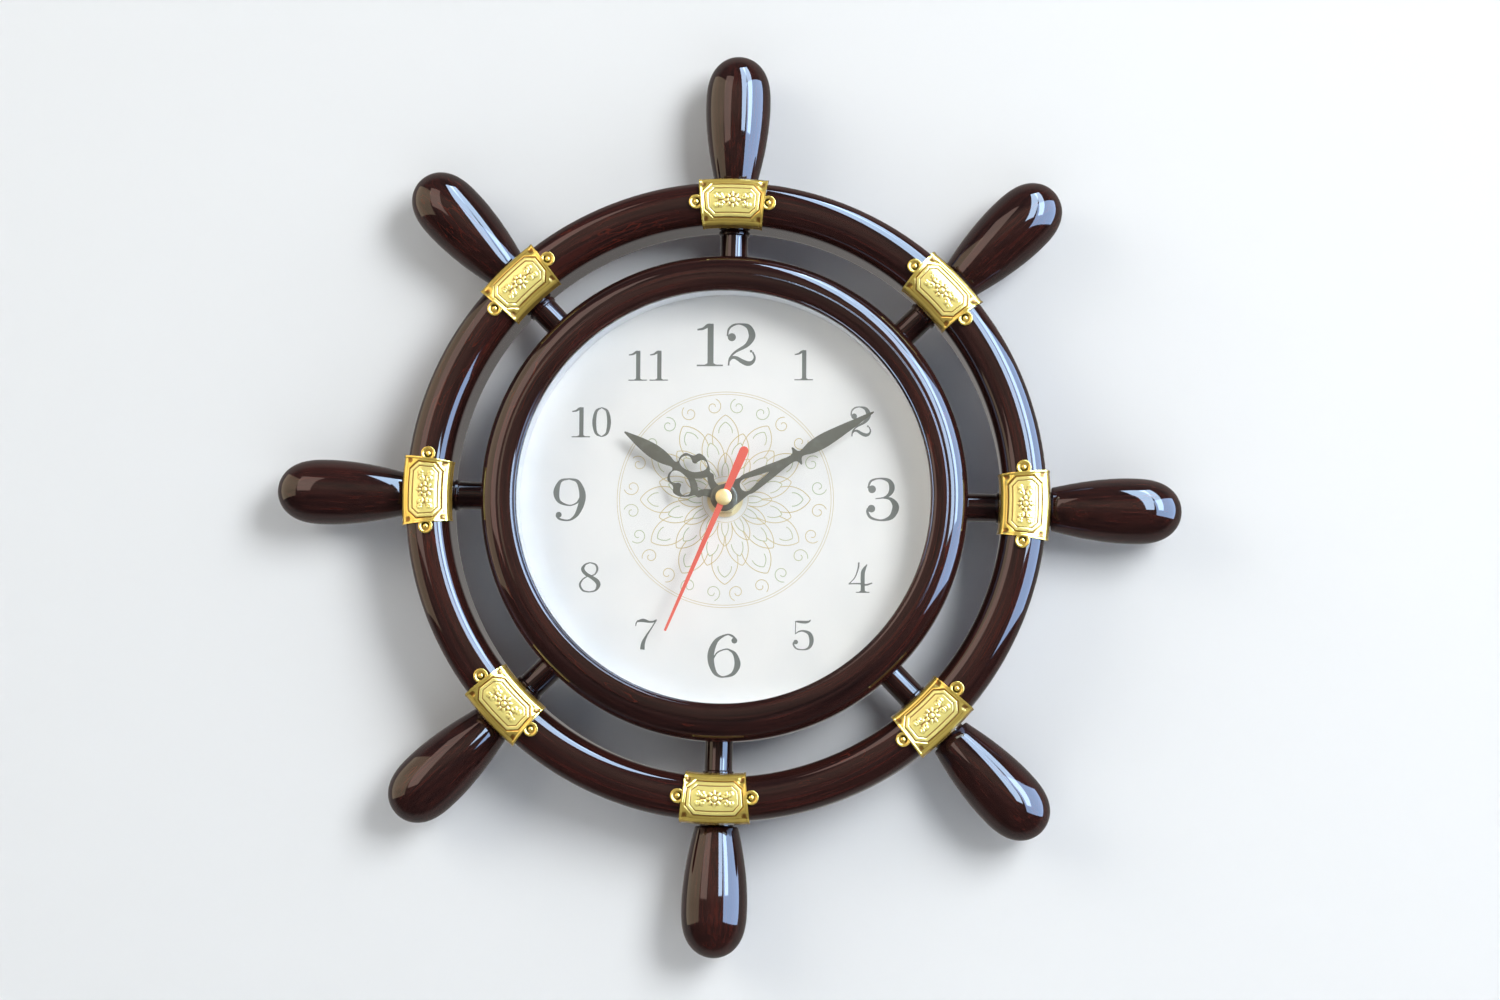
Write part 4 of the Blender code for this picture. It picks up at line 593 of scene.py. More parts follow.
class ShaderTree:
    """A tree of shader nodes, of a material or of the sky."""

    def __init__(self, tree: bpy.types.NodeTree) -> None:
        """Keeps the tree that the nodes go into."""
        self.tree, self.nodes = tree, tree.nodes

    def feed(self, socket: bpy.types.NodeSocket, value: Number | tuple) -> None:
        """Links a value to a socket, or sets it there.

        Args:
            socket: The input socket.
            value: A link, a number or a colour, whose alpha becomes 1.
        """
        if isinstance(value, Link):
            self.tree.links.new(value.socket, socket)
        elif isinstance(value, tuple) and len(value) == 3 and socket.type == "RGBA":
            socket.default_value = (*value, 1.0)
        else:
            socket.default_value = value

    def node(
        self, kind: str, settings: dict | None = None, values: dict | None = None,
        output: str | int = 0,
    ) -> Link:
        """Adds a node.

        Args:
            kind: The node's type.
            settings: Its own settings, set first; stops is a ramp's list of (place, colour).
            values: Values or links by the socket's name or number.
            output: The socket that is given back.

        Returns:
            The link to that socket.
        """
        made = self.nodes.new(kind)
        for key, value in (settings or {}).items():
            if key == "stops":
                ramp = made.color_ramp.elements
                while len(ramp) < len(value):
                    ramp.new(1.0)
                for stop, (place, colour) in zip(ramp, value):
                    stop.position, stop.color = place, (*colour, 1.0)
            else:
                setattr(made, key, value)
        for key, value in (values or {}).items():
            self.feed(made.inputs[key], value)
        return Link(self, made.outputs[output])

    def math(self, operation: str, *values: Number) -> Link:
        """Adds a Math node on the values in their order."""
        return self.node("ShaderNodeMath", {"operation": operation}, dict(enumerate(values)))

    def place(self) -> Link:
        """The point in the object's own coordinates, which are the frame's."""
        return self.node("ShaderNodeTexCoord", output="Object")

    def stored(self, name: str, output: str) -> Link:
        """Reads an attribute of the mesh."""
        return self.node("ShaderNodeAttribute", {"attribute_name": name}, output=output)

    def grain(self) -> tuple[Link, Link]:
        """The piece's grain in metres: its first three places as a vector, and the fourth."""
        return self.stored("grain", "Vector"), self.stored("grain_turn", "Fac")

    def noise(
        self, vector: Link, scale: float, detail: float = 2.0, w: Number | None = None
    ) -> Link:
        """Adds fractal noise.

        Args:
            vector: Where it is read.
            scale: Its scale.
            detail: How many finer octaves it has.
            w: The fourth place, where it has four dimensions.

        Returns:
            The link to its value.
        """
        values, settings = {"Vector": vector, "Scale": scale, "Detail": detail}, {}
        if w is not None:
            values["W"], settings["noise_dimensions"] = w, "4D"
        return self.node("ShaderNodeTexNoise", settings, values, "Fac")

    def stretched(
        self, vector: Link, scale: Triple, detail: float, w: Number | None = None
    ) -> Link:
        """Noise with a scale for each axis."""
        scaled = self.node("ShaderNodeVectorMath", {"operation": "MULTIPLY"}, {0: vector, 1: scale})
        return self.noise(scaled, 1.0, detail, w)

    def fibres(self, pattern: Triple, shift: float = 0.0) -> Link:
        """Adds noise that is drawn out along the piece's grain.

        Args:
            pattern: Its scale across the fibres, its scale along them and its detail.
            shift: Added to the fourth place, so that two patterns don't fall together.

        Returns:
            The link to its value.
        """
        across, along, detail = pattern
        grain, turn = self.grain()
        w = turn * along
        return self.stretched(grain, (across, across, along), detail, w + shift if shift else w)

    def mixed(self, factor: Number, first: Colour | Link, second: Colour | Link) -> Link:
        """Mixes two colours."""
        values = {"Factor": factor, 6: first, 7: second}
        return self.node("ShaderNodeMix", {"data_type": "RGBA"}, values, 2)

    def ramp(self, factor: Link, stops: Iterable[tuple[float, Colour]]) -> Link:
        """Reads a colour from a ramp."""
        return self.node("ShaderNodeValToRGB", {"stops": stops}, {"Fac": factor}, "Color")

    def axes(self, vector: Link) -> tuple[Link, Link, Link]:
        """Splits a vector."""
        made = self.node("ShaderNodeSeparateXYZ", None, {0: vector}).socket.node
        return tuple(Link(self, output) for output in made.outputs)

    def ray(self, kind: str) -> Link:
        """Gives 1 to the rays of a kind, such as Camera or Glossy."""
        return self.node("ShaderNodeLightPath", output=f"Is {kind} Ray")

    def show(self, factor: Number, first: Link, second: Link) -> None:
        """Feeds a mix of two shaders to the tree's output.

        Args:
            factor: The share of the second.
            first, second: The shaders.
        """
        output = next(node for node in self.nodes if node.bl_idname.startswith("ShaderNodeOutput"))
        mix = self.node("ShaderNodeMixShader", None, {0: factor, 1: first, 2: second})
        self.feed(output.inputs["Surface"], mix)


class Surface(ShaderTree):
    """The node tree of one material, with one Principled surface."""

    def __init__(self, name: str, **constants: float | tuple) -> None:
        """Makes the material.

        Args:
            name: The material's name.
            constants: The fixed values of its surface, named with _ for a space.
        """
        self.material = bpy.data.materials.new(name)
        self.material.use_nodes = True
        super().__init__(self.material.node_tree)
        self.surface = self.nodes["Principled BSDF"]
        self.dress(**constants)

    def dress(self, **links: Number | tuple) -> bpy.types.Material:
        """Feeds the surface's sockets, named with _ for a space, and its bump.

        Args:
            links: What goes to each socket; height, in metres, goes through a Bump node of full
                strength into Normal.

        Returns:
            The material.
        """
        height = links.pop("height", None)
        if height is not None:
            bump = {"Height": height, "Strength": 1.0, "Distance": 1.0}
            links["Normal"] = self.node("ShaderNodeBump", None, bump)
        for key, value in links.items():
            self.feed(self.surface.inputs[key.replace("_", " ")], value)
        return self.material


# Finishes


@dataclass(frozen=True)
class RosewoodLacquer:
    """Dark rosewood under a thick clear gloss, with fine black streaks and thin red veins.

    The patterns are noise drawn out along the fibres: (scale across, scale along, detail).
    """

    dark: Colour = (0.0055, 0.0028, 0.0030)
    brown: Colour = (0.026, 0.0095, 0.0080)
    red: Colour = (0.046, 0.0125, 0.0100)
    vein: Colour = (0.17, 0.026, 0.013)
    streaks: Triple = (860.0, 26.0, 4.0)
    pores: Triple = (2400.0, 90.0, 2.0)
    figure: Triple = (110.0, 9.0, 2.0)
    veins: Triple = (170.0, 26.0, 3.0)
    patches: Triple = (40.0, 22.0, 1.0)

    def build(self) -> bpy.types.Material:
        """Streaks and figure pick the wood's colour; veins run where their noise is near half.

        Returns:
            The material.
        """
        tree = Surface(
            "rosewood_lacquer", Coat_Weight=1.0, Coat_Roughness=0.045, Coat_IOR=1.6,
            Specular_IOR_Level=0.0,
        )
        patterns = (self.streaks, self.pores, self.figure)
        fine, pores, broad = (tree.fibres(pattern) for pattern in patterns)
        stops = [(0.30, self.dark), (0.49, self.brown), (0.62, self.red), (0.74, self.brown)]
        wood = tree.ramp(fine * 0.62 + broad * 0.38, stops)
        line = 1 - abs(tree.fibres(self.veins, shift=3.7) - 0.5).smooth(0.0, 0.011)
        patch = tree.fibres(self.patches, shift=9.1).smooth(0.52, 0.66)
        wood = tree.mixed(line * patch * 0.34, wood, self.vein)
        wood = tree.mixed(pores.smooth(0.60, 0.72) * 0.55, wood, self.dark)
        ripple = tree.noise(tree.place(), 160.0, 1.0) * 0.000035 + pores * 0.000004
        return tree.dress(Base_Color=wood, Roughness=0.36 + broad * 0.16, height=ripple)


@dataclass(frozen=True)
class GiltPlate:
    """Bright gold plate on pressed metal, duller and browner in its hollows by patina and painted
    shade, with a painted dark reflection on its flanks.
    """

    bright: Colour = (1.0, 0.74, 0.17)
    panel: Colour = (1.0, 0.86, 0.28)
    # The colour of patina, also used for painted shade in the hollows and a painted dark reflection
    # on the turned-down flanks.
    tarnish: Colour = (0.24, 0.095, 0.014)

    def build(self) -> bpy.types.Material:
        """Patina follows soft noise and, with painted shade, the sunk parts and the hollows; the
        turned-down flanks take a painted dark reflection.

        The panel inside the octagon is paler and less of a mirror than the frame round it. The
        bump is a fine orange peel of the plating.

        Returns:
            The material.
        """
        tree = Surface("gilt_plate")
        place = tree.place()
        pressed, hollow = tree.grain()
        u, v, relief = tree.axes(pressed)
        # The sunk parts and the hollows: patina and painted shade.
        sunk = (1 - relief.smooth(0.0, 0.22 * MM)).larger(hollow.smooth(0.030 * MM, 0.115 * MM))
        half_length, half_width, cut = (size * MM for size in OCTAGON)
        corner = (abs(u) + abs(v) - cut) * 0.7
        edge = (abs(u) - half_length).larger(abs(v) - half_width).larger(corner)
        inside = 1 - edge.smooth(-0.3 * MM, 0.2 * MM)
        # A painted dark reflection on the turned-down flanks.
        flank_dark_reflection = abs(v).smooth(8.9 * MM, 9.4 * MM)
        patch = tree.noise(place, 260.0, 3.0).smooth(0.42, 0.78)
        fine = tree.noise(place, 1500.0)
        # Patches of patina, the painted flank reflection and the painted shade of the hollows.
        worn = (patch * 0.10 + flank_dark_reflection * 0.55).larger(sunk * 0.95)
        return tree.dress(
            Base_Color=tree.mixed(worn, tree.mixed(inside, self.bright, self.panel), self.tarnish),
            Metallic=0.62 - inside * 0.34,
            Roughness=0.10 + patch * 0.06 + sunk * 0.16 + fine * 0.04, height=fine * 0.000003,
        )


@dataclass(frozen=True)
class ClearPane:
    """A thin clear acrylic pane: it hides little and shows a faint reflection."""

    share: float = 0.035
    rim: float = 0.0885
    rim_width: float = 0.0008

    def build(self) -> bpy.types.Material:
        """The pane covers a small share of what lies behind it, and more at its cut edge.

        Returns:
            The material.
        """
        tree = Surface("clear_pane", Base_Color=(0.93, 0.97, 1.0), Metallic=1.0)
        x, _, z = tree.axes(tree.place())
        rise = z - AXIS_HEIGHT
        edge = ((x * x + rise * rise) ** 0.5).smooth(self.rim, self.rim + self.rim_width)
        smear = tree.noise(tree.place(), 30.0, 3.0)
        alpha = self.share + edge * 0.25 + smear * 0.006
        return tree.dress(Alpha=alpha, Roughness=0.02 + smear.smooth(0.5, 0.8) * 0.03)


@dataclass(frozen=True)
class Moulded:
    """A moulded or printed plastic: a plain colour with faint clouds and a fine moulded skin."""

    name: str
    colour: Colour
    cloud: Colour
    roughness: float = 0.4
    skin: float = 0.00001

    def build(self) -> bpy.types.Material:
        """The cloud colour comes in by soft noise; fine noise gives the skin its bump and sheen.

        Returns:
            The material.
        """
        tree = Surface(self.name)
        place = tree.place()
        soft, fine = tree.noise(place, 45.0, 3.0), tree.noise(place, 900.0)
        colour = tree.mixed(soft.smooth(0.35, 0.7), self.colour, self.cloud)
        return tree.dress(
            Base_Color=tree.mixed(fine.smooth(0.62, 0.75) * 0.06, colour, self.cloud),
            Roughness=self.roughness - 0.05 + soft * 0.06 + fine * 0.05, height=fine * self.skin,
        )


@dataclass(frozen=True)
class BrushedMetal:
    """Plated or painted sheet metal with fine lines of its rolling along one axis."""

    name: str
    colour: Colour
    worn: Colour
    roughness: float
    metallic: float
    lines: Triple = (90.0, 90.0, 2600.0)

    def build(self) -> bpy.types.Material:
        """Lines are noise squeezed along one axis; wear is sparse patches of the worn colour.

        Returns:
            The material.
        """
        tree = Surface(self.name, Metallic=self.metallic)
        place = tree.place()
        line, cloud = tree.stretched(place, self.lines, 3.0), tree.noise(place, 210.0, 3.0)
        wear = cloud.smooth(0.50, 0.72) * 0.5 + line * 0.35
        return tree.dress(
            Base_Color=tree.mixed(wear, self.colour, self.worn),
            Roughness=self.roughness - 0.07 + line * 0.10 + cloud * 0.08, height=line * 0.000006,
        )


@dataclass(frozen=True)
class WireTurns:
    """Enamelled copper wire wound side by side along one axis."""

    pitch: float = 0.00035
    enamel: Colour = (0.80, 0.30, 0.12)
    # The colour of the painted shade in the grooves between turns.
    between: Colour = (0.16, 0.035, 0.012)

    def build(self) -> bpy.types.Material:
        """Each turn is a half wave along the coil's x, high in its middle and dark between turns,
        where painted shade fills the groove.

        Returns:
            The material.
        """
        tree = Surface("copper_winding", Metallic=1.0)
        x, _, _ = tree.axes(tree.place())
        wave = abs(tree.math("SINE", x * (math.pi / self.pitch)))
        tone = tree.noise(tree.place(), 500.0)
        colour = tree.mixed(wave.smooth(0.1, 0.6), self.between, self.enamel)
        height = wave * (self.pitch * 0.3)
        return tree.dress(Base_Color=colour, Roughness=0.22 + tone * 0.12, height=height)


@dataclass(frozen=True)
class BoardMask:
    """A small circuit board: green mask with straight copper tracks that show through."""

    mask: Colour = (0.010, 0.085, 0.035)
    track: Colour = (0.045, 0.22, 0.075)

    def build(self) -> bpy.types.Material:
        """Tracks are bands of a coarse brick pattern in the board's plane.

        Returns:
            The material.
        """
        tree = Surface("board_mask", Coat_Weight=0.4, Coat_Roughness=0.1)
        x, y, z = tree.axes(tree.place())
        plane = tree.node("ShaderNodeCombineXYZ", None, {0: x, 1: z, 2: y})
        sizes = {"Scale": 240.0, "Mortar Size": 0.06, "Brick Width": 0.9, "Row Height": 0.35}
        brick = tree.node("ShaderNodeTexBrick", {"offset": 0.5}, {"Vector": plane, **sizes}, "Fac")
        tone = tree.noise(tree.place(), 400.0)
        colour = tree.mixed(brick * 0.8, self.mask, self.track)
        return tree.dress(Base_Color=colour, Roughness=0.3 + tone * 0.1, height=brick * 0.00003)


@dataclass(frozen=True)
class CellSleeve:
    """The printed sleeve of a dry cell along x: a dark body, a copper band and bare steel ends."""

    low: float
    high: float
    band: Colour = (0.55, 0.22, 0.06)
    steel: Colour = (0.62, 0.62, 0.60)

    def build(self) -> bpy.types.Material:
        """Bands are steps along the cell's length, and the ends turn to metal.

        Returns:
            The material.
        """
        tree = Surface("cell_sleeve", Coat_Weight=0.5, Coat_Roughness=0.1)
        x, _, _ = tree.axes(tree.place())
        share = (x - self.low) / (self.high - self.low)
        ends = abs(share - 0.5) > 0.478
        tone = tree.noise(tree.place(), 120.0, 3.0)
        colour = tree.mixed(tone, (0.010, 0.010, 0.012), (0.020, 0.020, 0.024))
        colour = tree.mixed(ends, tree.mixed(share > 0.72, colour, self.band), self.steel)
        return tree.dress(Base_Color=colour, Metallic=ends, Roughness=0.26 + tone * 0.14)


class Finish(Enum):
    """Every finish of the clock."""

    WOOD = RosewoodLacquer()
    GILT = GiltPlate()
    PANE = ClearPane()
    DIAL = Moulded(
        "dial_card", (0.875, 0.86, 0.815), (0.835, 0.825, 0.785), roughness=0.5, skin=0.000004
    )
    INK = Moulded("dial_ink", (0.155, 0.165, 0.135), (0.19, 0.195, 0.165), roughness=0.45)
    GOLD_INK = Moulded("gold_ink", (0.58, 0.47, 0.20), (0.64, 0.54, 0.28))
    GREEN_INK = Moulded("green_ink", (0.40, 0.48, 0.26), (0.56, 0.54, 0.30))
    SPACER = Moulded("spacer_white", (0.74, 0.77, 0.80), (0.70, 0.74, 0.79), roughness=0.3)
    OLIVE = BrushedMetal(
        "olive_paint", (0.125, 0.120, 0.085), (0.19, 0.185, 0.14), roughness=0.36, metallic=0.35
    )
    RED = Moulded("red_paint", (0.80, 0.130, 0.090), (0.86, 0.18, 0.12), roughness=0.32)
    CAP = BrushedMetal(
        "cap_brass", (0.98, 0.74, 0.30), (1.0, 0.84, 0.46), roughness=0.34, metallic=0.5
    )
    STEEL = BrushedMetal(
        "zinc_plate", (0.55, 0.56, 0.58), (0.72, 0.72, 0.70), roughness=0.32, metallic=0.7
    )
    BRASS = BrushedMetal(
        "turned_brass", (0.94, 0.80, 0.46), (0.97, 0.88, 0.60), roughness=0.3, metallic=0.45
    )
    RESIN = Moulded(
        "black_resin", (0.020, 0.020, 0.022), (0.032, 0.032, 0.035), roughness=0.38
    )
    GEAR = Moulded("gear_resin", (0.62, 0.60, 0.54), (0.70, 0.68, 0.62), roughness=0.36)
    COPPER = WireTurns()
    BOARD = BoardMask()
    CELL = CellSleeve(*(corner.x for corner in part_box("battery")))


class Workshop:
    """Holds every finish, built once, and makes and dresses the pieces."""

    def __init__(self) -> None:
        """Builds the finishes."""
        self.paints = {finish: finish.value.build() for finish in Finish}

    def piece(
        self, name: str, skins: Skin | list[Skin], finish: Finish, slot: Slot,
        stands_for: str | None = None, body: str = ROOT, crease: float = 32.0,
    ) -> None:
        """Makes a piece, paints it, lets it ride on a body and hides the node that it stands for.

        Args:
            name: The piece's name.
            skins: Its closed surfaces.
            finish: Its finish.
            slot: The record's slot of its finish; not used.
            stands_for: The node that it replaces.
            body: The body that it rides on.
            crease: Edges sharper than this many degrees are shaded sharp.
        """
        piece = make_piece(name, skins if isinstance(skins, list) else [skins], crease)
        piece.data.materials.append(self.paints[finish])
        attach(piece, body)
        if stands_for:
            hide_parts(stands_for)
        LOG.info("%s: %d faces on %s", piece.name, len(piece.data.polygons), body)

    def repaint(self, finish: Finish, names: Iterable[str]) -> None:
        """Gives nodes that stay a finish in each of their slots.

        Args:
            finish: The finish.
            names: The nodes' names.
        """
        for name in names:
            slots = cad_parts[name].data.materials
            for i in range(len(slots)):
                slots[i] = self.paints[finish]
            LOG.info("%s: %s", name, finish.name)


# The wheel


@dataclass(frozen=True)
class WheelRing:
    """The turned hoop: a crowned front, straight sides and a flat back with eased edges."""

    outer: float = 133.7
    inner: float = 115.3
    back: float = 6.0
    base: float = 26.0
    rise: float = 8.5
    ease: float = 1.2
    sections: int = 288

    def build(self, shop: Workshop) -> None:
        """Turns the section about the clock's axis.

        Args:
            shop: Where its pieces are made and painted.
        """
        front = crown(self.outer, self.inner, self.base, self.rise, np.linspace(0, np.pi, 49))
        rear = rounded(
            [(self.inner, self.base, 0), (self.inner, self.back, self.ease),
             (self.outer, self.back, self.ease), (self.outer, self.base, 0)], closed=False,
        )
        profile = np.concatenate([front, dense(rear, 3.0)[1:-1]])
        ring = hoop(profile, self.sections)
        shop.piece("wheel_hoop", ring, Finish.WOOD, Slot.WOOD, "wheel_ring")


@dataclass(frozen=True)
class Arms:
    """Eight round spokes and eight turned handles on radial axes.

    The seeds are where the first of each lies in the wood, and how far on each next one lies.
    """

    height: float = 15.0
    spoke_radius: float = 5.8
    tenon_radius: float = 4.0
    handle_radius: float = 13.7
    handle_start: float = 134.0
    shoulder: float = 136.2
    tip: float = 190.0
    belly: float = 0.60
    spoke_sides: int = 64
    spoke_seeds: Pair = (0.0, 110.0)
    handle_sides: int = 96
    handle_seeds: Pair = (1300.0, 170.0)

    def spoke_profile(self) -> np.ndarray:
        """The rod from its head in the case to its tenon, with a low bead against the hoop.

        Returns:
            Rows of (distance from the clock's axis, radius).
        """
        rod, tenon = self.spoke_radius, self.tenon_radius
        head, bead, middle = rod + 0.8, rod + 0.7, 0.2
        corners = [
            (92.0, middle, 0), (92.0, head, 0.3), (93.2, head, 0.3), (93.4, rod, 0.1),
            (112.6, rod, 0.2), (112.9, bead, 0.35), (114.4, bead, 0.35), (114.8, rod, 0.2),
            (131.2, rod, 0.3), (131.3, tenon, 0.1), (155.6, tenon, 0.3), (155.7, middle, 0),
        ]
        return rounded(corners, closed=False)

    def handle_profile(self) -> np.ndarray:
        """The grip: size 1 - .34 away^1.8 below the belly and sqrt(1 - away^2.8) above it.

        Returns:
            Rows of (distance from the clock's axis, radius).
        """
        share = np.sin(np.pi / 2 * np.linspace(0, 1, 90))
        below = np.maximum(0, (self.belly - share) / self.belly)
        above = np.maximum(0, (share - self.belly) / (1 - self.belly))
        high = np.sqrt(np.maximum(0.0, 1 - above**2.8))
        size = np.where(share < self.belly, 1 - 0.34 * below**1.8, high)
        along = self.shoulder + share * (self.tip - self.shoulder)
        body = np.column_stack([along, self.handle_radius * size])
        body[-1, 1] = ON_AXIS * 2
        start, collar, shoulder = self.handle_start, self.spoke_radius + 1.4, self.shoulder
        skipped = 4  # points of the body, in whose place the rounded foot runs
        foot = rounded(
            [(start, 0.2, 0), (start, collar, 0.35), (shoulder - 0.6, collar, 0.3),
             (shoulder - 0.5, body[0, 1], 0.7), (*body[skipped], 0)], closed=False,
        )
        return np.concatenate([foot[:-1], body[skipped:]])

    def build(self, shop: Workshop) -> None:
        """Turns both profiles and sets them out at each eighth of a turn, clockwise from the top.

        Args:
            shop: Where its pieces are made and painted.
        """
        kinds = (
            ("spoke_rod", "spoke", self.spoke_profile(), self.spoke_sides, self.spoke_seeds),
            ("grip", "handle", self.handle_profile(), self.handle_sides, self.handle_seeds),
        )
        for i in range(SPOKES):
            for name, node, profile, sides, (seed, step) in kinds:
                skin = arm(profile, self.height, sides, seed + step * i)
                turned = skin.turned(math.pi / 2 - i * SECTOR)
                shop.piece(f"{name}_{i + 1}", turned, Finish.WOOD, Slot.WOOD, f"{node}_{i + 1}")


@dataclass(frozen=True)
class Plaques:
    """Eight pressed gilt plates over the hoop, each with a rim, an octagonal panel and a flower."""

    ring: WheelRing = WheelRing()
    half_length: float = 13.5
    gap: float = 0.3
    thickness: float = 0.9
    edge_turn: float = 0.17
    columns: int = 150
    rows: int = 112
    ear_low: float = 34.85
    ear_place: float = 15.2
    off_panel: Pair = (12.5, 8.0)

    @property
    def middle(self) -> float:
        """The hoop's middle radius."""
        return (self.ring.outer + self.ring.inner) / 2

    def section(self, offset: float) -> np.ndarray:
        """Draws the hoop's crown moved out, with evenly spaced points.

        Args:
            offset: How far it is moved out.

        Returns:
            Rows of (radius, h).
        """
        ring, turn = self.ring, np.linspace(self.edge_turn, np.pi - self.edge_turn, 400)
        line = crown(ring.outer + offset, ring.inner - offset, ring.base, ring.rise + offset, turn)
        along = running(line)
        even = np.linspace(0, along[-1], self.rows)
        return np.column_stack([np.interp(even, along, column) for column in line.T])

    @staticmethod
    def curls() -> np.ndarray:
        """Leafy curls in one quarter of the panel: spirals whose radius shrinks as they turn."""
        near = spiral((4.7, 1.80), 1.15, 0.75, -2.4, 5.2, 60)
        return np.concatenate([near, spiral((7.1, 1.75), 0.95, 0.75, 3.5, -4.8, 60)])

    def relief(self, u: np.ndarray, v: np.ndarray) -> np.ndarray:
        """How far the face stands out.

        The plate is smooth with a low roll along each long edge and a step at each end. Two fine
        grooves follow an octagon, and in its field stand a flower of eight petals,
        r / (1 + .28 cos 8t), and curls to both sides. Pits are sunk outside the octagon's cut
        corners.

        Args:
            u: Places along the hoop.
            v: Places across it.

        Returns:
            The height of each point.
        """
        a, b = np.abs(u), np.abs(v)
        length, width, cut = OCTAGON
        octagon = np.maximum.reduce([a - length, b - width, (a + b - cut) / math.sqrt(2)])
        step = 0.22 * rising(a - self.half_length + 0.8, 0.14)
        edges = 0.30 + 0.35 * hump(b - 8.9, 0.75, 4) + step
        panel = 0.30 * rising(-octagon - 0.2, 0.13) - 0.16 * rising(-octagon - 2.1, 0.2)
        grooves = 0.42 * hump(octagon - 0.05, 0.30) + 0.34 * hump(octagon + 1.75, 0.26)
        radius, angle = np.hypot(a, b), np.arctan2(v, u)
        petal = radius / (1 + 0.28 * np.cos(8 * angle))
        petals = 0.46 * np.clip(1 - (petal / 2.8) ** 2, 0, None) ** 0.6
        heart = 0.42 * hump(radius, 0.90) - 0.38 * hump(radius - 1.40, 0.28)
        line = self.curls()
        gap = (a[..., None] - line[:, 0]) ** 2 + (b[..., None] - line[:, 1]) ** 2
        curls = 0.36 * hump(np.sqrt(gap.min(axis=-1)), 0.42)
        pits = 0.40 * hump(np.hypot(a - 11.6, b - 7.1), 1.05)
        return edges + panel - grooves + petals + heart + curls - pits

    def plate(self) -> Skin:
        """The plate at the top of the wheel: a section swept along the hoop, raised by the relief.

        Returns:
            The closed skin, with its place on the plate, its relief and its hollows as grain.
        """
        rear, face = self.section(self.gap), self.section(self.gap + self.thickness)
        run = np.linspace(-self.half_length, self.half_length, self.columns)
        u, v = np.meshgrid(run, face[:, 0] - self.middle, indexing="ij")
        out = normals_of(face, False)
        out = out * np.where(out[:, 1:] < 0, -1, 1)
        relief = self.relief(u, v)
        raised = face[None] + out[None] * relief[..., None]
        turn = np.pi / 2 + u / self.middle
        grids = [
            np.stack([*polar(line[..., 0], turn), line[..., 1]], axis=-1)
            for line in (raised, rear[None] + 0 * raised)
        ]
        return sheet(*grids, np.stack([u, v, relief, self.hollows(relief)], axis=-1))

    @staticmethod
    def hollows(relief: np.ndarray, reach: int = 4) -> np.ndarray:
        """How far each point lies below the mean of the square of points round it.

        Args:
            relief: The heights in a grid.
            reach: The points to each side that the mean takes in.

        Returns:
            A grid of depths.
        """
        mean, steps = relief, range(-reach, reach + 1)
        for axis in (0, 1):
            mean = sum(np.roll(mean, step, axis) for step in steps) / len(steps)
        return mean - relief

    def ear(self, side: int) -> list[Skin]:
        """A round lug past one end of the plate, with a raised rim and a domed pin in it.

        Args:
            side: -1 for one end and 1 for the other.

        Returns:
            The lug, its pin and the neck that joins it to the plate.
        """
        turn = np.pi / 2 + side * self.ear_place / self.middle
        root = np.pi / 2 + side * (self.half_length - 0.8) / self.middle
        centre, low = polar(self.middle, turn), self.ear_low
        neck = np.array([polar(self.middle, root), centre])
        lug = rounded(
            [(ON_AXIS, low, 0), (3.0, low, 0.25), (3.0, low + 1.15, 0.3), (2.2, low + 1.15, 0.3),
             (1.9, low + 0.8, 0.2), (ON_AXIS, low + 0.8, 0)], closed=False,
        )
        pin = domed(radius=1.05, foot=low + 0.5, spring=low + 0.7, rise=0.65, steps=9)
        bridge = stroke(neck, width=4.4, low=low + 0.1, high=low + 0.8)
        skins = [post(lug, 40, centre), post(pin, 24, centre), bridge]
        # Below this h the lug's floor and the pin's foot take patina and painted shade in the gilt.
        patina_and_shade_below = low + 0.72
        for skin in skins:
            raised = skin.points[:, 2:] - patina_and_shade_below
            place = np.full((len(raised), 2), self.off_panel)
            skin.grain = np.column_stack([place, raised, 0 * raised])
        return skins

    def build(self, shop: Workshop) -> None:
        """Makes the top plaque once and sets out eight of them clockwise.

        Args:
            shop: Where its pieces are made and painted.
        """
        skins = [self.plate(), *self.ear(-1), *self.ear(1)]
        for i in range(SPOKES):
            name = f"plaque_{i + 1}"
            turned = [skin.turned(-i * SECTOR) for skin in skins]
            shop.piece(f"gilt_{name}", turned, Finish.GILT, Slot.GILT, name, crease=60.0)


# The case and what closes it


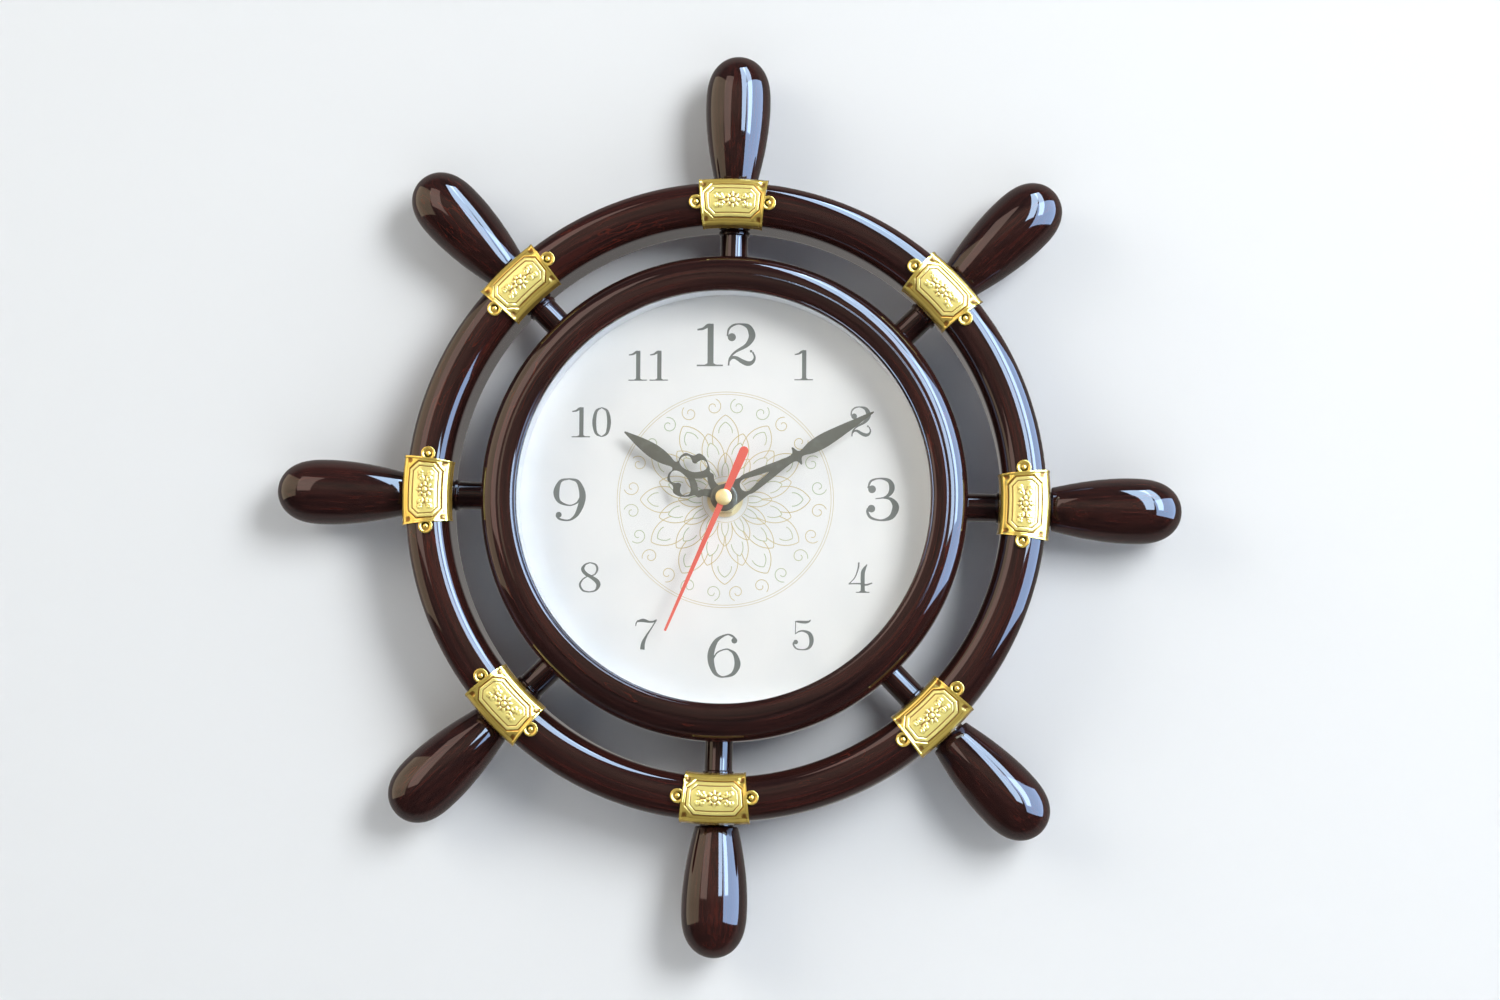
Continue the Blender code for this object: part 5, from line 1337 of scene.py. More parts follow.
@dataclass(frozen=True)
class Case:
    """The drum with its flange and hanger web, the bezel, the lens and the white spacer."""

    radius: float = 97.4
    wall: float = 3.4
    flange_inner: float = 88.0
    flange_rear: float = 24.2
    front: float = 28.6
    web_drop: float = 21.0
    bezel_radius: float = 101.1
    crest: float = 42.7
    crest_radius: float = 92.0
    shoulder: float = 33.9
    skirt: float = 25.0
    lip: float = 40.5
    lip_radius: float = 85.6
    seat: float = 38.7
    seat_radius: float = 90.9
    hollow_radius: float = 93.3
    rear: float = 28.9
    sections: int = 192
    bezel_sections: int = 320
    web_levels: Pair = (3.6, 6.2)
    pane_radius: float = 89.9
    pane_levels: Pair = (36.4, 38.4)
    reveal_radii: Pair = (86.0, 87.7)
    reveal_levels: Pair = (24.2, 36.1)

    def drum(self) -> Skin:
        """The wall and the flange, turned about the axis.

        Returns:
            The closed skin.
        """
        outer, inner, flange, ease = self.radius, self.radius - self.wall, self.flange_inner, 0.5
        corners = [
            (outer, 0, ease), (outer, self.front, ease), (flange, self.front, ease),
            (flange, self.flange_rear, ease), (inner, self.flange_rear, 0.3), (inner, 0, ease),
        ]
        return hoop(rounded(corners), self.sections)

    def bezel(self) -> Skin:
        """The crowned ring: a lip, a scored line, an inner crown, a ledge and an outer crown.

        Returns:
            The closed skin.
        """
        edge, crest, lip = self.bezel_radius, self.crest_radius, self.lip_radius
        turn = np.linspace(0, np.pi / 2, 40)
        outside = crown(edge, 2 * crest - edge, self.shoulder, self.crest - self.shoulder, turn)
        turn = np.linspace(np.pi / 2, np.pi, 30)
        inside = crown(2 * crest - lip, lip, self.lip, self.crest - self.lip, turn)
        front = dense(np.concatenate([outside, inside[1:]]), 0.12)
        end = running(front)[-1]
        line, ledge = (end - 1.9, 0.40, 0.30), (end - running(inside)[-1] - 0.6, 0.50, 0.16)
        front = scored(front, [line], ledge)
        top = (self.shoulder + self.crest) / 2
        hollow, outer = self.hollow_radius, self.radius + 0.3
        back = rounded(
            [(lip, self.lip, 0), (lip, self.seat, 0.3), (self.seat_radius, self.seat, 0.2),
             (self.seat_radius, self.rear, 0.3), (hollow, self.rear, 0.3), (hollow, top, 0.6),
             (outer, top, 0.6), (outer, self.skirt, 0.4), (edge, self.skirt, 0.5),
             (edge, self.shoulder, 0)], closed=False,
        )
        return hoop(np.concatenate([front, back[1:-1]]), self.bezel_sections)

    def web(self) -> Skin:
        """The web across the top of the drum behind the hanger plate, with its window and holes.

        Returns:
            The closed skin.
        """
        edge = self.radius - self.wall / 2
        bow = math.asin((self.radius - self.wall - self.web_drop) / edge)
        (_, bottom), (_, top) = clock_box("hanger_plate")
        border, half, hole = 1.5, 8.0, 1.5
        window = block((-half, bottom + border), (half, top - border), 1.0)
        x, y = np.mean(clock_box("hanger_screw_2"), axis=0)
        holes = [arc(hole, around(24)) + (side * abs(x), y) for side in (-1, 1)]
        loops = [arc(edge, np.linspace(bow, math.pi - bow, 60)), window, *holes]
        skin = slab(loops, tuple((0.0, level) for level in self.web_levels))
        along = skin.points[:, :1]
        skin.grain = np.column_stack([skin.points[:, 1:], along, 0 * along])
        return skin

    def build(self, shop: Workshop) -> None:
        """Builds and dresses the four pieces.

        Args:
            shop: Where its pieces are made and painted.
        """
        shop.piece("drum", [self.drum(), self.web()], Finish.WOOD, Slot.GLOSS, "case_drum")
        shop.piece("bezel", self.bezel(), Finish.WOOD, Slot.GLOSS, "bezel_ring")
        edge, (rear, front), ease = self.pane_radius, self.pane_levels, 0.4
        half = [(ON_AXIS, rear, 0), (edge, rear, ease), (edge, front, ease), (ON_AXIS, front, 0)]
        pane = post(rounded(half, closed=False), self.sections)
        shop.piece("pane", pane, Finish.PANE, Slot.LENS, "lens")
        low, high = zip(self.reveal_radii, self.reveal_levels)
        reveal = hoop(block(low, high, 0.25), self.sections)
        shop.piece("reveal", reveal, Finish.SPACER, Slot.DIAL, "dial_spacer")


# The dial's print


# Each digit, one unit tall: its width, its strokes of (x, y, width) knots and its dots of
# (x, y, radius).
GLYPHS: dict[str, tuple[float, list[list[Triple]], list[Triple]]] = {
    "0": (0.58, [
        [(.29, .985, .025), (.47, .86, .08), (.535, .5, .115), (.47, .14, .08), (.29, .015, .025)],
        [(.29, .015, .025), (.11, .14, .08), (.045, .5, .115), (.11, .86, .08), (.29, .985, .025)],
    ], []),
    "1": (0.61, [
        [(.01, .855, .03), (.14, .88, .05), (.25, .95, .07), (.31, .985, .03)],
        [(.32, .995, .125), (.32, .5, .125), (.32, .12, .125), (.32, .06, .15), (.32, .022, .3)],
        [(.0, .014, .028), (.61, .014, .028)],
    ], []),
    "2": (0.66, [
        [(.012, .7, .03), (.04, .86, .04), (.15, .96, .04), (.31, .985, .03), (.5, .92, .1),
         (.585, .74, .14), (.55, .6, .12), (.44, .47, .08), (.2, .33, .045), (.07, .18, .035),
         (.04, .01, .03)],
        [(.05, .1, .02), (.12, .19, .05), (.22, .19, .07), (.35, .11, .09), (.49, .055, .1),
         (.6, .09, .07), (.65, .2, .04), (.6, .33, .03)],
    ], [(.115, .676, .095), (.565, .345, .03)]),
    "3": (0.72, [
        [(.045, .76, .03), (.12, .93, .04), (.33, .985, .03), (.53, .93, .08), (.6, .78, .115),
         (.55, .63, .08), (.42, .545, .03), (.22, .515, .018)],
        [(.36, .538, .02), (.55, .515, .06), (.665, .4, .12), (.68, .27, .14), (.58, .09, .1),
         (.36, .015, .035), (.12, .07, .05), (.035, .2, .05), (.05, .29, .05)],
    ], [(.14, .735, .09), (.125, .285, .088)]),
    "4": (0.77, [
        [(.33, .995, .045), (.31, .8, .04), (.2, .5, .03), (.0, .285, .02)],
        [(.0, .29, .03), (.2, .3, .035), (.38, .295, .04), (.57, .26, .05), (.77, .32, .03)],
        [(.6, .93, .02), (.5, .76, .1), (.46, .6, .12), (.46, .12, .12), (.46, .06, .15),
         (.46, .022, .3)],
        [(.24, .014, .028), (.68, .014, .028)],
    ], []),
    "5": (0.69, [
        [(.11, .95, .022), (.1, .52, .022)],
        [(.09, .94, .02), (.2, .93, .06), (.42, .915, .08), (.55, .94, .05), (.6, .995, .02)],
        [(.1, .53, .02), (.2, .6, .035), (.35, .63, .05), (.55, .55, .1), (.63, .36, .13),
         (.6, .16, .1), (.5, .05, .06), (.33, .015, .03), (.14, .05, .04), (.045, .17, .05),
         (.05, .26, .05)],
    ], [(.115, .265, .075)]),
    "6": (0.745, [
        [(.635, .88, .04), (.55, .96, .04), (.42, .985, .03), (.2, .86, .08), (.08, .62, .13),
         (.065, .38, .13), (.14, .14, .09), (.25, .035, .05), (.38, .015, .03), (.58, .09, .08),
         (.68, .3, .125), (.62, .53, .08), (.5, .63, .035), (.4, .65, .025), (.22, .58, .025),
         (.12, .44, .03)],
    ], [(.605, .85, .068)]),
    "7": (0.71, [
        [(.01, .78, .02), (.03, .88, .035), (.09, .97, .03)],
        [(.05, .93, .04), (.25, .965, .1), (.45, .92, .06), (.6, .93, .05), (.7, .99, .03)],
        [(.68, .96, .03), (.52, .7, .035), (.36, .45, .06), (.26, .22, .11), (.235, .01, .135)],
    ], []),
    "8": (0.73, [
        [(.38, .985, .03), (.56, .92, .05), (.62, .77, .06), (.55, .61, .04), (.42, .545, .035)],
        [(.38, .985, .03), (.22, .92, .05), (.14, .77, .1), (.24, .62, .1), (.42, .51, .1),
         (.6, .38, .13), (.66, .24, .12), (.56, .07, .05), (.36, .015, .03)],
        [(.36, .015, .03), (.15, .07, .05), (.05, .25, .06), (.13, .42, .04), (.28, .53, .03)],
    ], []),
    "9": (0.745, [
        [(.36, .985, .025), (.16, .93, .06), (.065, .68, .125), (.13, .46, .07), (.36, .365, .025),
         (.54, .42, .03), (.63, .54, .05)],
        [(.36, .985, .025), (.56, .92, .07), (.67, .66, .13), (.655, .42, .13), (.56, .18, .09),
         (.45, .06, .05), (.33, .015, .03), (.15, .045, .04), (.06, .13, .03)],
    ], [(.125, .145, .068)]),
}


@dataclass(frozen=True)
class Dial:
    """The printed face: twelve numbers and a line rosette, standing a hair above the card."""

    face: float = 23.9
    sunk: float = 0.05
    number_radius: float = 65.2
    tall: float = 18.0
    small: float = 12.7
    turn: float = math.radians(1.4)
    letter_gap: float = 0.09
    weight: float = 1.08
    hairline: float = 0.005
    circles: Triple = (45.2, 44.2, 9.6)
    circle_line: float = 0.20
    petal_line: float = 0.34
    scroll_line: float = 0.32
    scroll_place: float = 39.2

    def number(self, text: str, centre: np.ndarray, size: float) -> list[Skin]:
        """Draws a number's digits side by side, upright, from strokes of changing width.

        Args:
            text: The number.
            centre: Its middle.
            size: Its height.

        Returns:
            A skin for each stroke and dot, each next stroke a little higher than the last.
        """
        widths = [GLYPHS[digit][0] for digit in text]
        cursor = -(sum(widths) + self.letter_gap * (len(text) - 1)) / 2
        low, skins = self.face - self.sunk, []
        for digit, width in zip(text, widths):
            _, strokes, dots = GLYPHS[digit]
            for order, knots in enumerate(strokes):
                line = curve_through(np.array(knots), 9)
                path = line[:, :2] * size + (centre + np.array([cursor, -0.5]) * size)
                thickness = (line[:, 2] * self.weight + self.hairline) * size
                skins.append(stroke(path, thickness, low, self.face + 0.030 + 0.003 * order))
            for x, y, radius in dots:
                profile = np.array([(radius * size, low), (radius * size, self.face + 0.045)])
                skins.append(post(profile, 28, centre + np.array([cursor + x, y - 0.5]) * size))
            cursor += width + self.letter_gap
        return skins

    def rosette(self) -> tuple[list[Skin], list[Skin]]:
        """Draws line work in rings of twelve: pointed petals, and scrolls that shrink as they turn.

        Returns:
            The skins in gold and the skins in green.
        """
        pale, leafy = [], []
        low, top = self.face - self.sunk, self.face + 0.014
        whole = np.linspace(0, 2 * np.pi, 181)
        for radius in self.circles:
            pale.append(stroke(arc(radius, whole), self.circle_line, low, top))
        t = np.linspace(0, 1, 61)
        arch = 1 - np.abs(2 * t - 1) ** 1.25
        rings = (  # (ink, inner radius, outer radius, half a petal's angle, share of a step turned)
            (pale, 10.0, 19.5, 0.26, 0.0), (leafy, 10.0, 15.5, 0.13, 0.0),
            (pale, 15.5, 28.5, 0.25, 0.5), (leafy, 19.0, 24.5, 0.12, 0.5),
            (pale, 23.5, 35.5, 0.22, 0.0), (leafy, 28.0, 32.5, 0.10, 0.0),
        )
        for order, (ink, inner, outer, half, shift) in enumerate(rings):
            for i in range(12):
                angle = (i + shift) * math.pi / 6 + half * np.cos(np.pi * t)
                petal = arc(inner + (outer - inner) * arch, angle)
                ink.append(stroke(petal, self.petal_line, low, top + 0.0015 * (order + 1)))
        for i in range(24):
            side = 1 if i % 2 else -1
            angle = (i + 0.5) * math.pi / 12
            centre = polar(self.scroll_place, angle)
            scroll = spiral(centre, 3.5, 0.78, start=angle + side * 0.4, sweep=side * 7.4)
            ink = leafy if i % 4 < 2 else pale
            ink.append(stroke(scroll, self.scroll_line, low, top + 0.012))
        return pale, leafy

    def build(self, shop: Workshop) -> None:
        """Sets out the numbers and the rosette, all turned with the card.

        Args:
            shop: Where its pieces are made and painted.
        """
        numbers = []
        for hour in range(1, 13):
            centre = np.array(polar(self.number_radius, math.pi / 2 - hour * math.pi / 6))
            numbers += self.number(str(hour), centre, self.tall if hour % 3 == 0 else self.small)
        pale, leafy = self.rosette()
        for name, skins, ink in (
            ("numbers", numbers, Finish.INK), ("rosette_gold", pale, Finish.GOLD_INK),
            ("rosette_green", leafy, Finish.GREEN_INK),
        ):
            shop.piece(name, [skin.turned(self.turn) for skin in skins], ink, Slot.DIAL)
        shop.repaint(Finish.DIAL, ["dial_plate"])


# The hands: half outlines and openings, as (along, to one side) in shares of the hand's length


HOUR_EDGE = (
    (-.03, .09), (.075, .062), (.145, .074), (.18, .112), (.216, .115), (.247, .148), (.313, .19),
    (.373, .192), (.405, .151), (.469, .134), (.491, .085), (.484, .044), (.505, .027), (.56, .042),
    (.62, .054), (.69, .058), (.76, .053), (.84, .04), (.92, .022), (.985, .006),
)
HOUR_LOBE = (
    (.47, .042), (.478, .078), (.463, .108), (.436, .126), (.403, .118), (.38, .101), (.356, .104),
    (.346, .129), (.33, .155), (.305, .166), (.275, .156), (.257, .13), (.266, .096), (.298, .06),
    (.333, .036), (.38, .024), (.43, .022),
)
HOUR_DIAMOND = ((.290, .0), (.246, .028), (.212, .066), (.176, .026), (.132, .0))
MINUTE_EDGE = (
    (-.02, .07), (.06, .068), (.128, .056), (.17, .06), (.3, .042), (.452, .021), (.482, .058),
    (.509, .018), (.58, .035), (.66, .041), (.76, .033), (.87, .02), (.96, .009), (.992, .003),
)
MINUTE_DROP = ((.296, .0), (.240, .013), (.185, .027), (.150, .036), (.125, .030), (.113, .012))
SECOND_EDGE = (  # in mm
    (-22.8, 0.5), (-22.45, 1.2), (-21.7, 1.75), (-20.8, 1.9), (-14.0, 1.75), (-4.0, 1.35),
    (4.0, 1.25), (30.0, 0.85), (60.4, 0.5),
)
MIRROR = (1, -1)


@dataclass(frozen=True)
class Hand:
    """One flat pressed hand on a round hub, with eased edges.

    The hub's dome is crowned mm high, and draws in by that share of the hub's radius.
    """

    length: float
    angle: float
    low: float
    hub: float
    thick: float = 0.5
    ease: float = 0.07
    crowned: float = 0.30

    def aimed(self, shares: np.ndarray) -> np.ndarray:
        """Turns the hand's own places into the clock's, at its length and its angle.

        Args:
            shares: Rows of (along, to one side), in shares of the length.

        Returns:
            Rows of (x, y).
        """
        along, side = shares.T * self.length
        sin, cos = math.sin(self.angle), math.cos(self.angle)
        return np.column_stack([along * sin + side * cos, along * cos - side * sin])

    def outline(self, half: tuple, steps: int) -> np.ndarray:
        """Draws one half through its knots and mirrors it in the hand's middle line."""
        line = curve_through(np.array(half), steps)
        return self.aimed(np.concatenate([line, line[::-1] * MIRROR]))

    def plate(self, loops: list[np.ndarray]) -> list[Skin]:
        """Presses the plate with eased edges and sets the domed hub on it.

        Args:
            loops: Its outline and then its openings.

        Returns:
            The plate and the hub.
        """
        low, top, ease = self.low, self.low + self.thick, self.ease
        flat = slab(loops, ((ease, low), (0.0, low + ease), (0.0, top - ease), (ease, top)))
        rise = np.linspace(0, 1, 8)
        height = top - 0.1 + self.crowned * np.sin(rise * np.pi / 2)
        dome = np.column_stack([self.hub * (1 - self.crowned * rise**2), height])
        foot, bore = low - 0.02, 0.3
        base = [(bore, foot), (self.hub - 0.1, foot), (self.hub, low + 0.1)]
        return [flat, post(np.concatenate([base, dome, [(bore, dome[-1, 1])]]), 64)]


@dataclass(frozen=True)
class Hands:
    """The hour, minute and second hands at the time that they show."""

    hour_hand: Hand = Hand(length=51.0, angle=math.radians(302.2), low=29.1, hub=5.2)
    minute_hand: Hand = Hand(length=72.2, angle=math.radians(58.7), low=31.4, hub=5.6)
    second_hand: Hand = Hand(length=1.0, angle=math.radians(202.0), low=33.7, hub=3.0)

    def hour(self) -> list[Skin]:
        """The hour hand: two open lobes and a diamond opening below a leaf.

        Returns:
            The plate and the hub.
        """
        hand, diamond = self.hour_hand, np.array(HOUR_DIAMOND)
        lobe = curve_through(np.array(HOUR_LOBE), 5, closed=True)
        holes = [lobe, lobe * MIRROR, np.concatenate([diamond, diamond[-2:0:-1] * MIRROR])]
        return hand.plate([hand.outline(HOUR_EDGE, 6), *(hand.aimed(hole) for hole in holes)])

    def minute(self) -> list[Skin]:
        """The minute hand: a long leaf with two barbs and a drop opening.

        Returns:
            The plate and the hub.
        """
        hand, drop = self.minute_hand, np.array(MINUTE_DROP)
        whole = curve_through(np.concatenate([drop, drop[:0:-1] * MIRROR]), 5, closed=True)
        return hand.plate([hand.outline(MINUTE_EDGE, 5), hand.aimed(whole)])

    def second(self) -> list[Skin]:
        """The second hand: a tapered needle with a broader tail, and the collar under its cap.

        Returns:
            The plate and the collar.
        """
        edge = np.array(SECOND_EDGE)
        loop = np.concatenate([edge, edge[::-1] * MIRROR, edge[:1]])
        return self.second_hand.plate([dense(self.second_hand.aimed(loop), 3.0)[:-1]])

    def build(self, shop: Workshop) -> None:
        """Builds the three hands and the cap.

        Args:
            shop: Where its pieces are made and painted.
        """
        shop.piece("hour_leaf", self.hour(), Finish.OLIVE, Slot.OLIVE, "hour_hand", "hour")
        shop.piece("minute_leaf", self.minute(), Finish.OLIVE, Slot.OLIVE, "minute_hand", "minute")
        shop.piece("second_needle", self.second(), Finish.RED, Slot.RED, "second_hand", "second")
        cap = post(domed(radius=3.4, foot=34.0, spring=34.5, rise=0.9, steps=12, power=0.6), 64)
        shop.piece("second_cap", cap, Finish.CAP, Slot.GILT, body="second")


@dataclass(frozen=True)
class Movement:
    """The quartz movement and the hanging parts, whose solids stay and get their finishes here."""

    rear: float = 5.6
    proud: float = 0.55
    sunk: float = 0.2

    @property
    def levels(self) -> Pair:
        """The h of a moulding's face and of its foot, which is sunk in the wall."""
        return self.rear - self.proud, self.rear + self.sunk

    def frame_ridge(self, low: Pair, high: Pair, corner: float, width: float) -> Skin:
        """A ridge inside the edge of a box.

        Args:
            low, high: The box's lowest and highest (x, y).
            corner: The radius of its outer corners.
            width: The ridge's width.

        Returns:
            The closed skin.
        """
        loops = [
            block(np.add(low, inset), np.subtract(high, inset), corner - inset)
            for inset in (0.0, width)
        ]
        (face, foot), ease = self.levels, 0.12
        return slab(loops, ((ease, face), (0.0, face + ease), (0.0, foot)))

    def bar(self, points: Iterable[Iterable[float]], width: Places) -> Skin:
        """A raised bar along rows of (x, y), of one width or a width for each row."""
        return stroke(np.array(points), width, *self.levels)

    def knob_marks(self) -> list[Skin]:
        """A ring and two arrows round the setting knob.

        An arrow is an arc whose width jumps at its head and shrinks to its point.

        Returns:
            The closed skins.
        """
        face = self.levels[0]
        knob = np.mean(clock_box("setting_knob"), axis=0)
        ring = [(5.7, 0.15), (5.85, 0.0), (6.35, 0.0), (6.5, 0.15), (6.5, 0.75), (5.7, 0.75)]
        collar = hoop(np.array(ring) + (0, face), 72)
        collar.points[:, :2] += knob
        share, head = np.linspace(0, 1, 40), 0.72
        width = np.where(share < head, 0.75, 2.6 * (1 - share) / (1 - head) + 0.05)
        arrows = [arc(8.3, np.radians(start + share * 85)) + knob for start in (25, 205)]
        return [collar, *(self.bar(arrow, width) for arrow in arrows)]

    def mouldings(self) -> list[Skin]:
        """What is moulded on the rear wall: a lid's edge, a blank panel, ribs, bosses and marks.

        Bars make a plus and a minus at the battery's ends.

        Returns:
            The closed skins.
        """
        skins = [
            self.frame_ridge((-27.2, -10.7), (27.2, 27.0), corner=1.6, width=0.9),
            self.frame_ridge((-22.5, 5.0), (4.0, 22.0), corner=1.3, width=0.6),
            *self.knob_marks(),
        ]
        low, middle, high, side, arm_length = -8.0, -6.2, -4.4, 22.0, 1.8
        skins += [self.bar([(-16.0, y), (16.0, y)], 0.7) for y in (high, middle, low)]
        marks = [[(x - arm_length, middle), (x + arm_length, middle)] for x in (-side, side)]
        skins += [self.bar(ends, 0.8) for ends in (*marks, [(-side, low), (-side, high)])]
        corners = [(x, y, 1.1) for y in (24.4, 0) for x in (-24.6, 24.6)]
        face, foot = self.levels
        for x, y, radius in ((0, 0, 3.0), *corners):
            edge, ease = [(radius, foot), (ON_AXIS, foot)], 0.25
            boss = [(ON_AXIS, face), (radius - ease, face), (radius, face + ease), *edge]
            skins.append(post(np.array(boss), 40, (x, y)))
        return skins

    def build(self, shop: Workshop) -> None:
        """Adds the mouldings and gives each node its material.

        Args:
            shop: Where its pieces are made and painted.
        """
        shop.piece("case_mouldings", self.mouldings(), Finish.RESIN, Slot.RESIN)
        finishes = {
            Finish.RESIN: "movement_case movement_cover setting_knob",
            Finish.GEAR: "center_wheel minute_pipe hour_wheel minute_wheel third_wheel second_wheel"
                         " step_wheel",
            Finish.STEEL: "rotor stator quartz_crystal contact_positive contact_negative"
                          " hanger_plate hanger_screw_1 hanger_screw_2 dial_screw_1 dial_screw_2"
                          " dial_screw_3 dial_screw_4",
            Finish.BRASS: "hex_nut dial_washer",
            Finish.COPPER: "coil",
            Finish.BOARD: "circuit_board",
            Finish.CELL: "battery",
        }
        for finish, names in finishes.items():
            shop.repaint(finish, names.split())


# The room


class Shows(Enum):
    """Where a lamp shows."""

    GLOSS = "in gloss"
    COLOUR = "in matt colour"


@dataclass(frozen=True)
class Lamp:
    """A rectangular soft lamp that faces the clock."""

    name: str
    spot: Triple
    size: Pair
    power: float
    colour: Colour
    shows: Shows

    def hang(self) -> None:
        """Adds the lamp to the scene."""
        light = bpy.data.lights.new(self.name, "AREA")
        light.shape = "RECTANGLE"
        light.size, light.size_y = self.size
        light.energy, light.color = self.power, self.colour
        piece = placed(self.name, light)
        aim = (Vector(self.spot) - Vector((0, 0, AXIS_HEIGHT))).to_track_quat("Z", "Y")
        piece.matrix_world = Matrix.Translation(self.spot) @ aim.to_matrix().to_4x4()
        piece.visible_camera = False
        piece.visible_glossy = self.shows is Shows.GLOSS
        piece.visible_diffuse = self.shows is Shows.COLOUR


# Each lamp's name, place, size, power in watts, colour and where it shows.
LAMPS = (
    Lamp("window", (1.37, -1.75, 0.85), (0.9, 1.4), 50.0, (0.95, 0.98, 1.0), Shows.COLOUR),
    Lamp("window_pane_1", (0.785, -1.79, 1.36), (0.66, 3.4), 104.0, (0.54, 0.73, 1.0), Shows.GLOSS),
    Lamp("window_pane_2", (1.415, -1.37, 1.36), (0.66, 3.4), 104.0, (0.54, 0.73, 1.0), Shows.GLOSS),
    Lamp("side_window", (2.30, -0.45, 0.75), (2.2, 1.8), 14.0, (0.93, 0.95, 1.0), Shows.COLOUR),
    Lamp("side_pane", (2.00, -0.85, 0.30), (2.8, 2.3), 195.0, (0.42, 0.62, 1.0), Shows.GLOSS),
    Lamp("front_glow", (-1.19, -1.70, 0.75), (1.0, 1.9), 11.0, (1.0, 0.70, 0.60), Shows.GLOSS),
    Lamp("left_glow", (-2.0, -0.35, 0.30), (2.4, 2.2), 19.0, (1.0, 0.80, 0.54), Shows.GLOSS),
    Lamp("left_fill", (-2.0, -1.2, 1.0), (1.6, 1.6), 28.0, (1.0, 0.97, 0.90), Shows.COLOUR),
    Lamp("rear_fill", (-0.9, 2.0, 1.1), (1.8, 1.8), 52.0, (0.98, 0.99, 1.0), Shows.COLOUR),
)


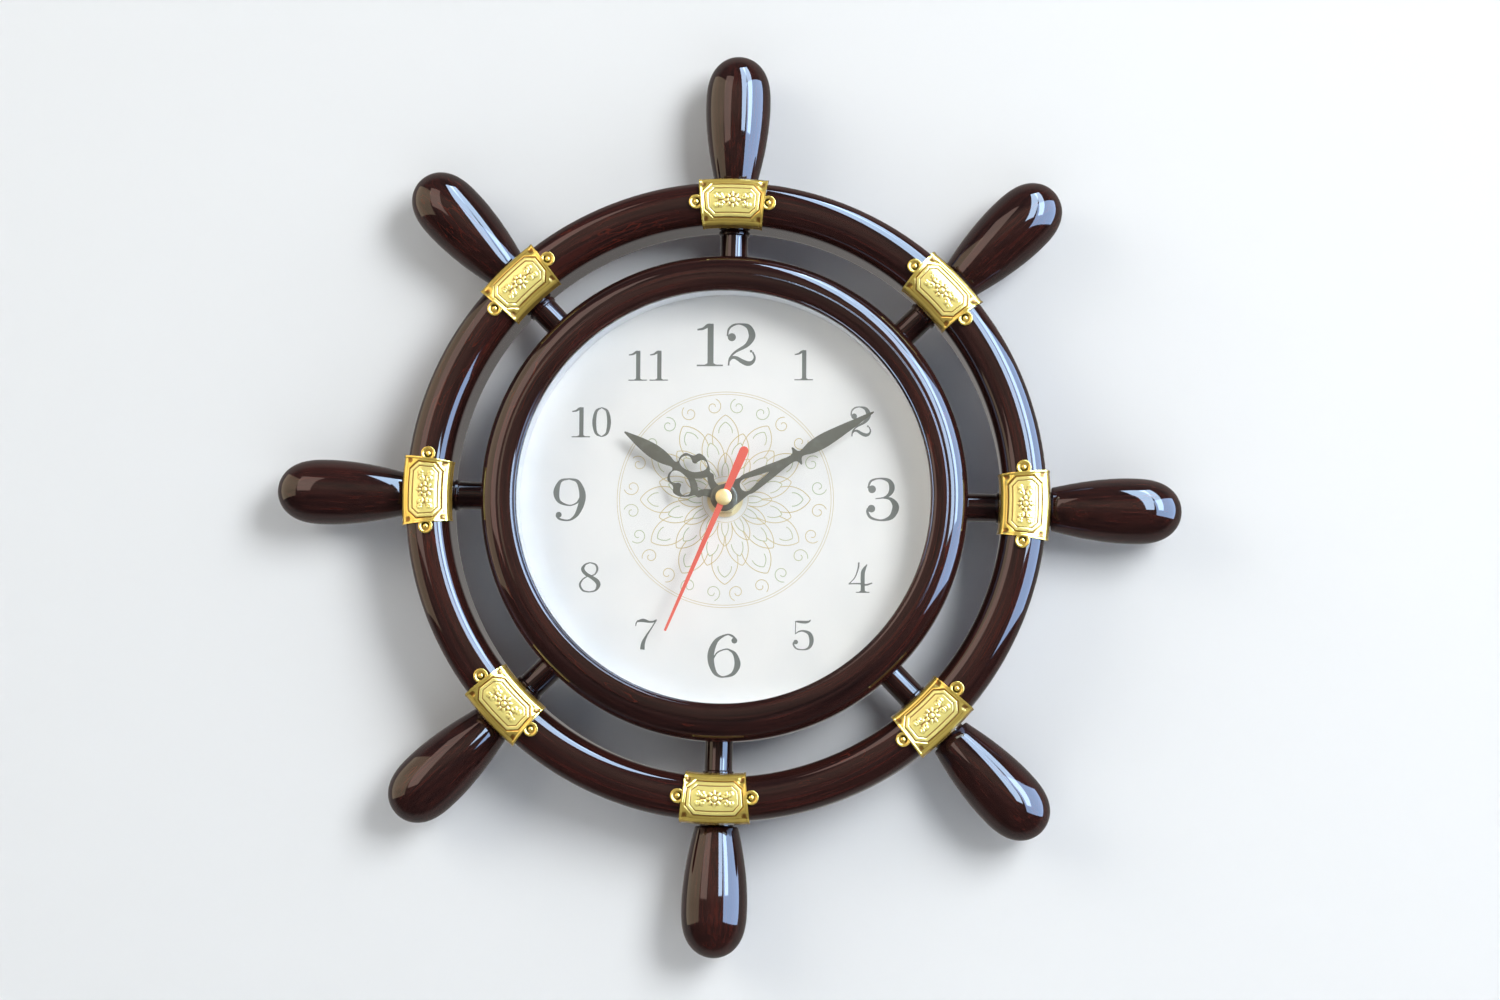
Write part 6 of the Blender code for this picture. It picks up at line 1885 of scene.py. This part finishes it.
@dataclass(frozen=True)
class Studio:
    """A pale wall and floor, soft lamps, a room for the gloss and the camera."""

    distance: float = 1.323
    lens: float = 76.8
    sensor: float = 36.0
    shift: Pair = (-0.011, 0.0014)
    angles: tuple[tuple[float, str], ...] = ((-3.11, "Y"), (-5.84, "X"), (-1.37, "Z"))
    pivot: float = 0.0355
    wall_gap: float = 0.0005
    reach: float = 4.0
    floor_height: float = -1.2
    pale: Colour = (0.80, 0.81, 0.82)
    behind: Colour = (0.30, 0.285, 0.275)
    room: tuple[tuple[float, Colour], ...] = (
        (0.34, (0.035, 0.030, 0.034)), (0.43, (0.13, 0.11, 0.11)), (0.50, (0.12, 0.095, 0.085)),
        (0.56, (0.32, 0.25, 0.21)), (0.70, (0.37, 0.30, 0.25)), (0.80, (0.09, 0.075, 0.085)),
    )

    @staticmethod
    def plane(name: str, corners: list[Triple], paint: bpy.types.Material) -> bpy.types.Object:
        """Makes a flat stage piece.

        Args:
            name: Its name.
            corners: Its four corners in metres.
            paint: Its material.

        Returns:
            The new object.
        """
        mesh = bpy.data.meshes.new(name)
        mesh.from_pydata(corners, [], [(0, 1, 2, 3)])
        mesh.materials.append(paint)
        piece = placed(name, mesh)
        return piece

    def wall_paint(self) -> bpy.types.Material:
        """Shows the wall to the camera from its front only, so that the clock's back can be seen.

        Returns:
            The material.
        """
        tree = Surface("wall_paint", Roughness=0.9, Specular_IOR_Level=0.0)
        tone = tree.noise(tree.place(), 3.0)
        tree.dress(Base_Color=tree.mixed(tone, self.pale, tuple(c * 0.985 for c in self.pale)))
        front = 1 - tree.node("ShaderNodeNewGeometry", output="Backfacing")
        surface = Link(tree, tree.surface.outputs["BSDF"])
        tree.show(tree.ray("Camera") * front, tree.node("ShaderNodeBsdfTransparent"), surface)
        return tree.material

    def floor_paint(self) -> bpy.types.Material:
        """Lets the floor look as pale as the room to the camera, wherever its lamps fall off.

        Returns:
            The material.
        """
        tree = Surface("floor_paint", Roughness=0.8, Base_Color=self.pale)
        even = tree.node("ShaderNodeEmission", None, {"Color": self.pale, "Strength": 1.0})
        tree.show(tree.ray("Camera") * 0.92, Link(tree, tree.surface.outputs["BSDF"]), even)
        return tree.material

    def stage(self) -> None:
        """Hangs the wall close behind the clock and lays the floor well below it."""
        y, low, side = self.wall_gap, self.floor_height, self.reach
        front, top = -5, 3
        wall = [(-side, y, low), (side, y, low), (side, y, top), (-side, y, top)]
        self.plane("wall", wall, self.wall_paint())
        ground = [(-side, front, low), (side, front, low), (side, y, low), (-side, y, low)]
        self.plane("floor", ground, self.floor_paint()).visible_glossy = False

    def sky(self) -> None:
        """Lights evenly, shows a pale room to the camera, and gives gloss a room of its own.

        The gloss sees a ramp from the room's floor to its ceiling, and one colour behind the wall.
        """
        world = bpy.data.worlds.new("sky")
        bpy.context.scene.world = world
        world.use_nodes = True
        tree = ShaderTree(world.node_tree)
        _, y, z = tree.axes(tree.node("ShaderNodeTexCoord", output="Generated"))
        even = {"Color": (0.96, 0.98, 1.0), "Strength": 0.18}
        light = tree.node("ShaderNodeBackground", None, even)
        seen = tree.ray("Camera")
        room = tree.mixed(y.smooth(-0.1, 0.25), tree.ramp(z * 0.5 + 0.5, self.room), self.behind)
        room = tree.node("ShaderNodeBackground", None, {"Color": tree.mixed(seen, room, self.pale)})
        tree.show(seen.larger(tree.ray("Glossy")).larger(tree.ray("Transmission")), light, room)

    def camera(self) -> None:
        """Sets the camera a little below and to the right of the clock's axis."""
        data = bpy.data.cameras.new("camera")
        data.lens, data.sensor_width = self.lens, self.sensor
        piece = placed("camera", data)
        clock = Matrix.Translation((0, 0, AXIS_HEIGHT)) @ Matrix.Rotation(math.radians(90), 4, "X")
        view = Matrix.Translation((*self.shift, -self.distance))
        for degrees, axis in self.angles:
            view = view @ Matrix.Rotation(math.radians(degrees), 4, axis)
        piece.matrix_world = clock @ Matrix.Translation((0, 0, self.pivot)) @ view.inverted()
        bpy.context.scene.camera = piece

    def build(self) -> None:
        """Builds the room."""
        self.stage()
        for lamp in LAMPS:
            lamp.hang()
        self.sky()
        self.camera()


def main() -> None:
    """Builds every sub-assembly in order and reports its pieces."""
    logging.basicConfig(level=logging.INFO, format="%(name)s: %(message)s")
    bpy.context.scene.view_settings.view_transform = "Standard"
    shop = Workshop()
    for assembly in (WheelRing(), Arms(), Plaques(), Case(), Dial(), Hands(), Movement()):
        assembly.build(shop)
    Studio().build()


if __name__ == "__main__":
    main()
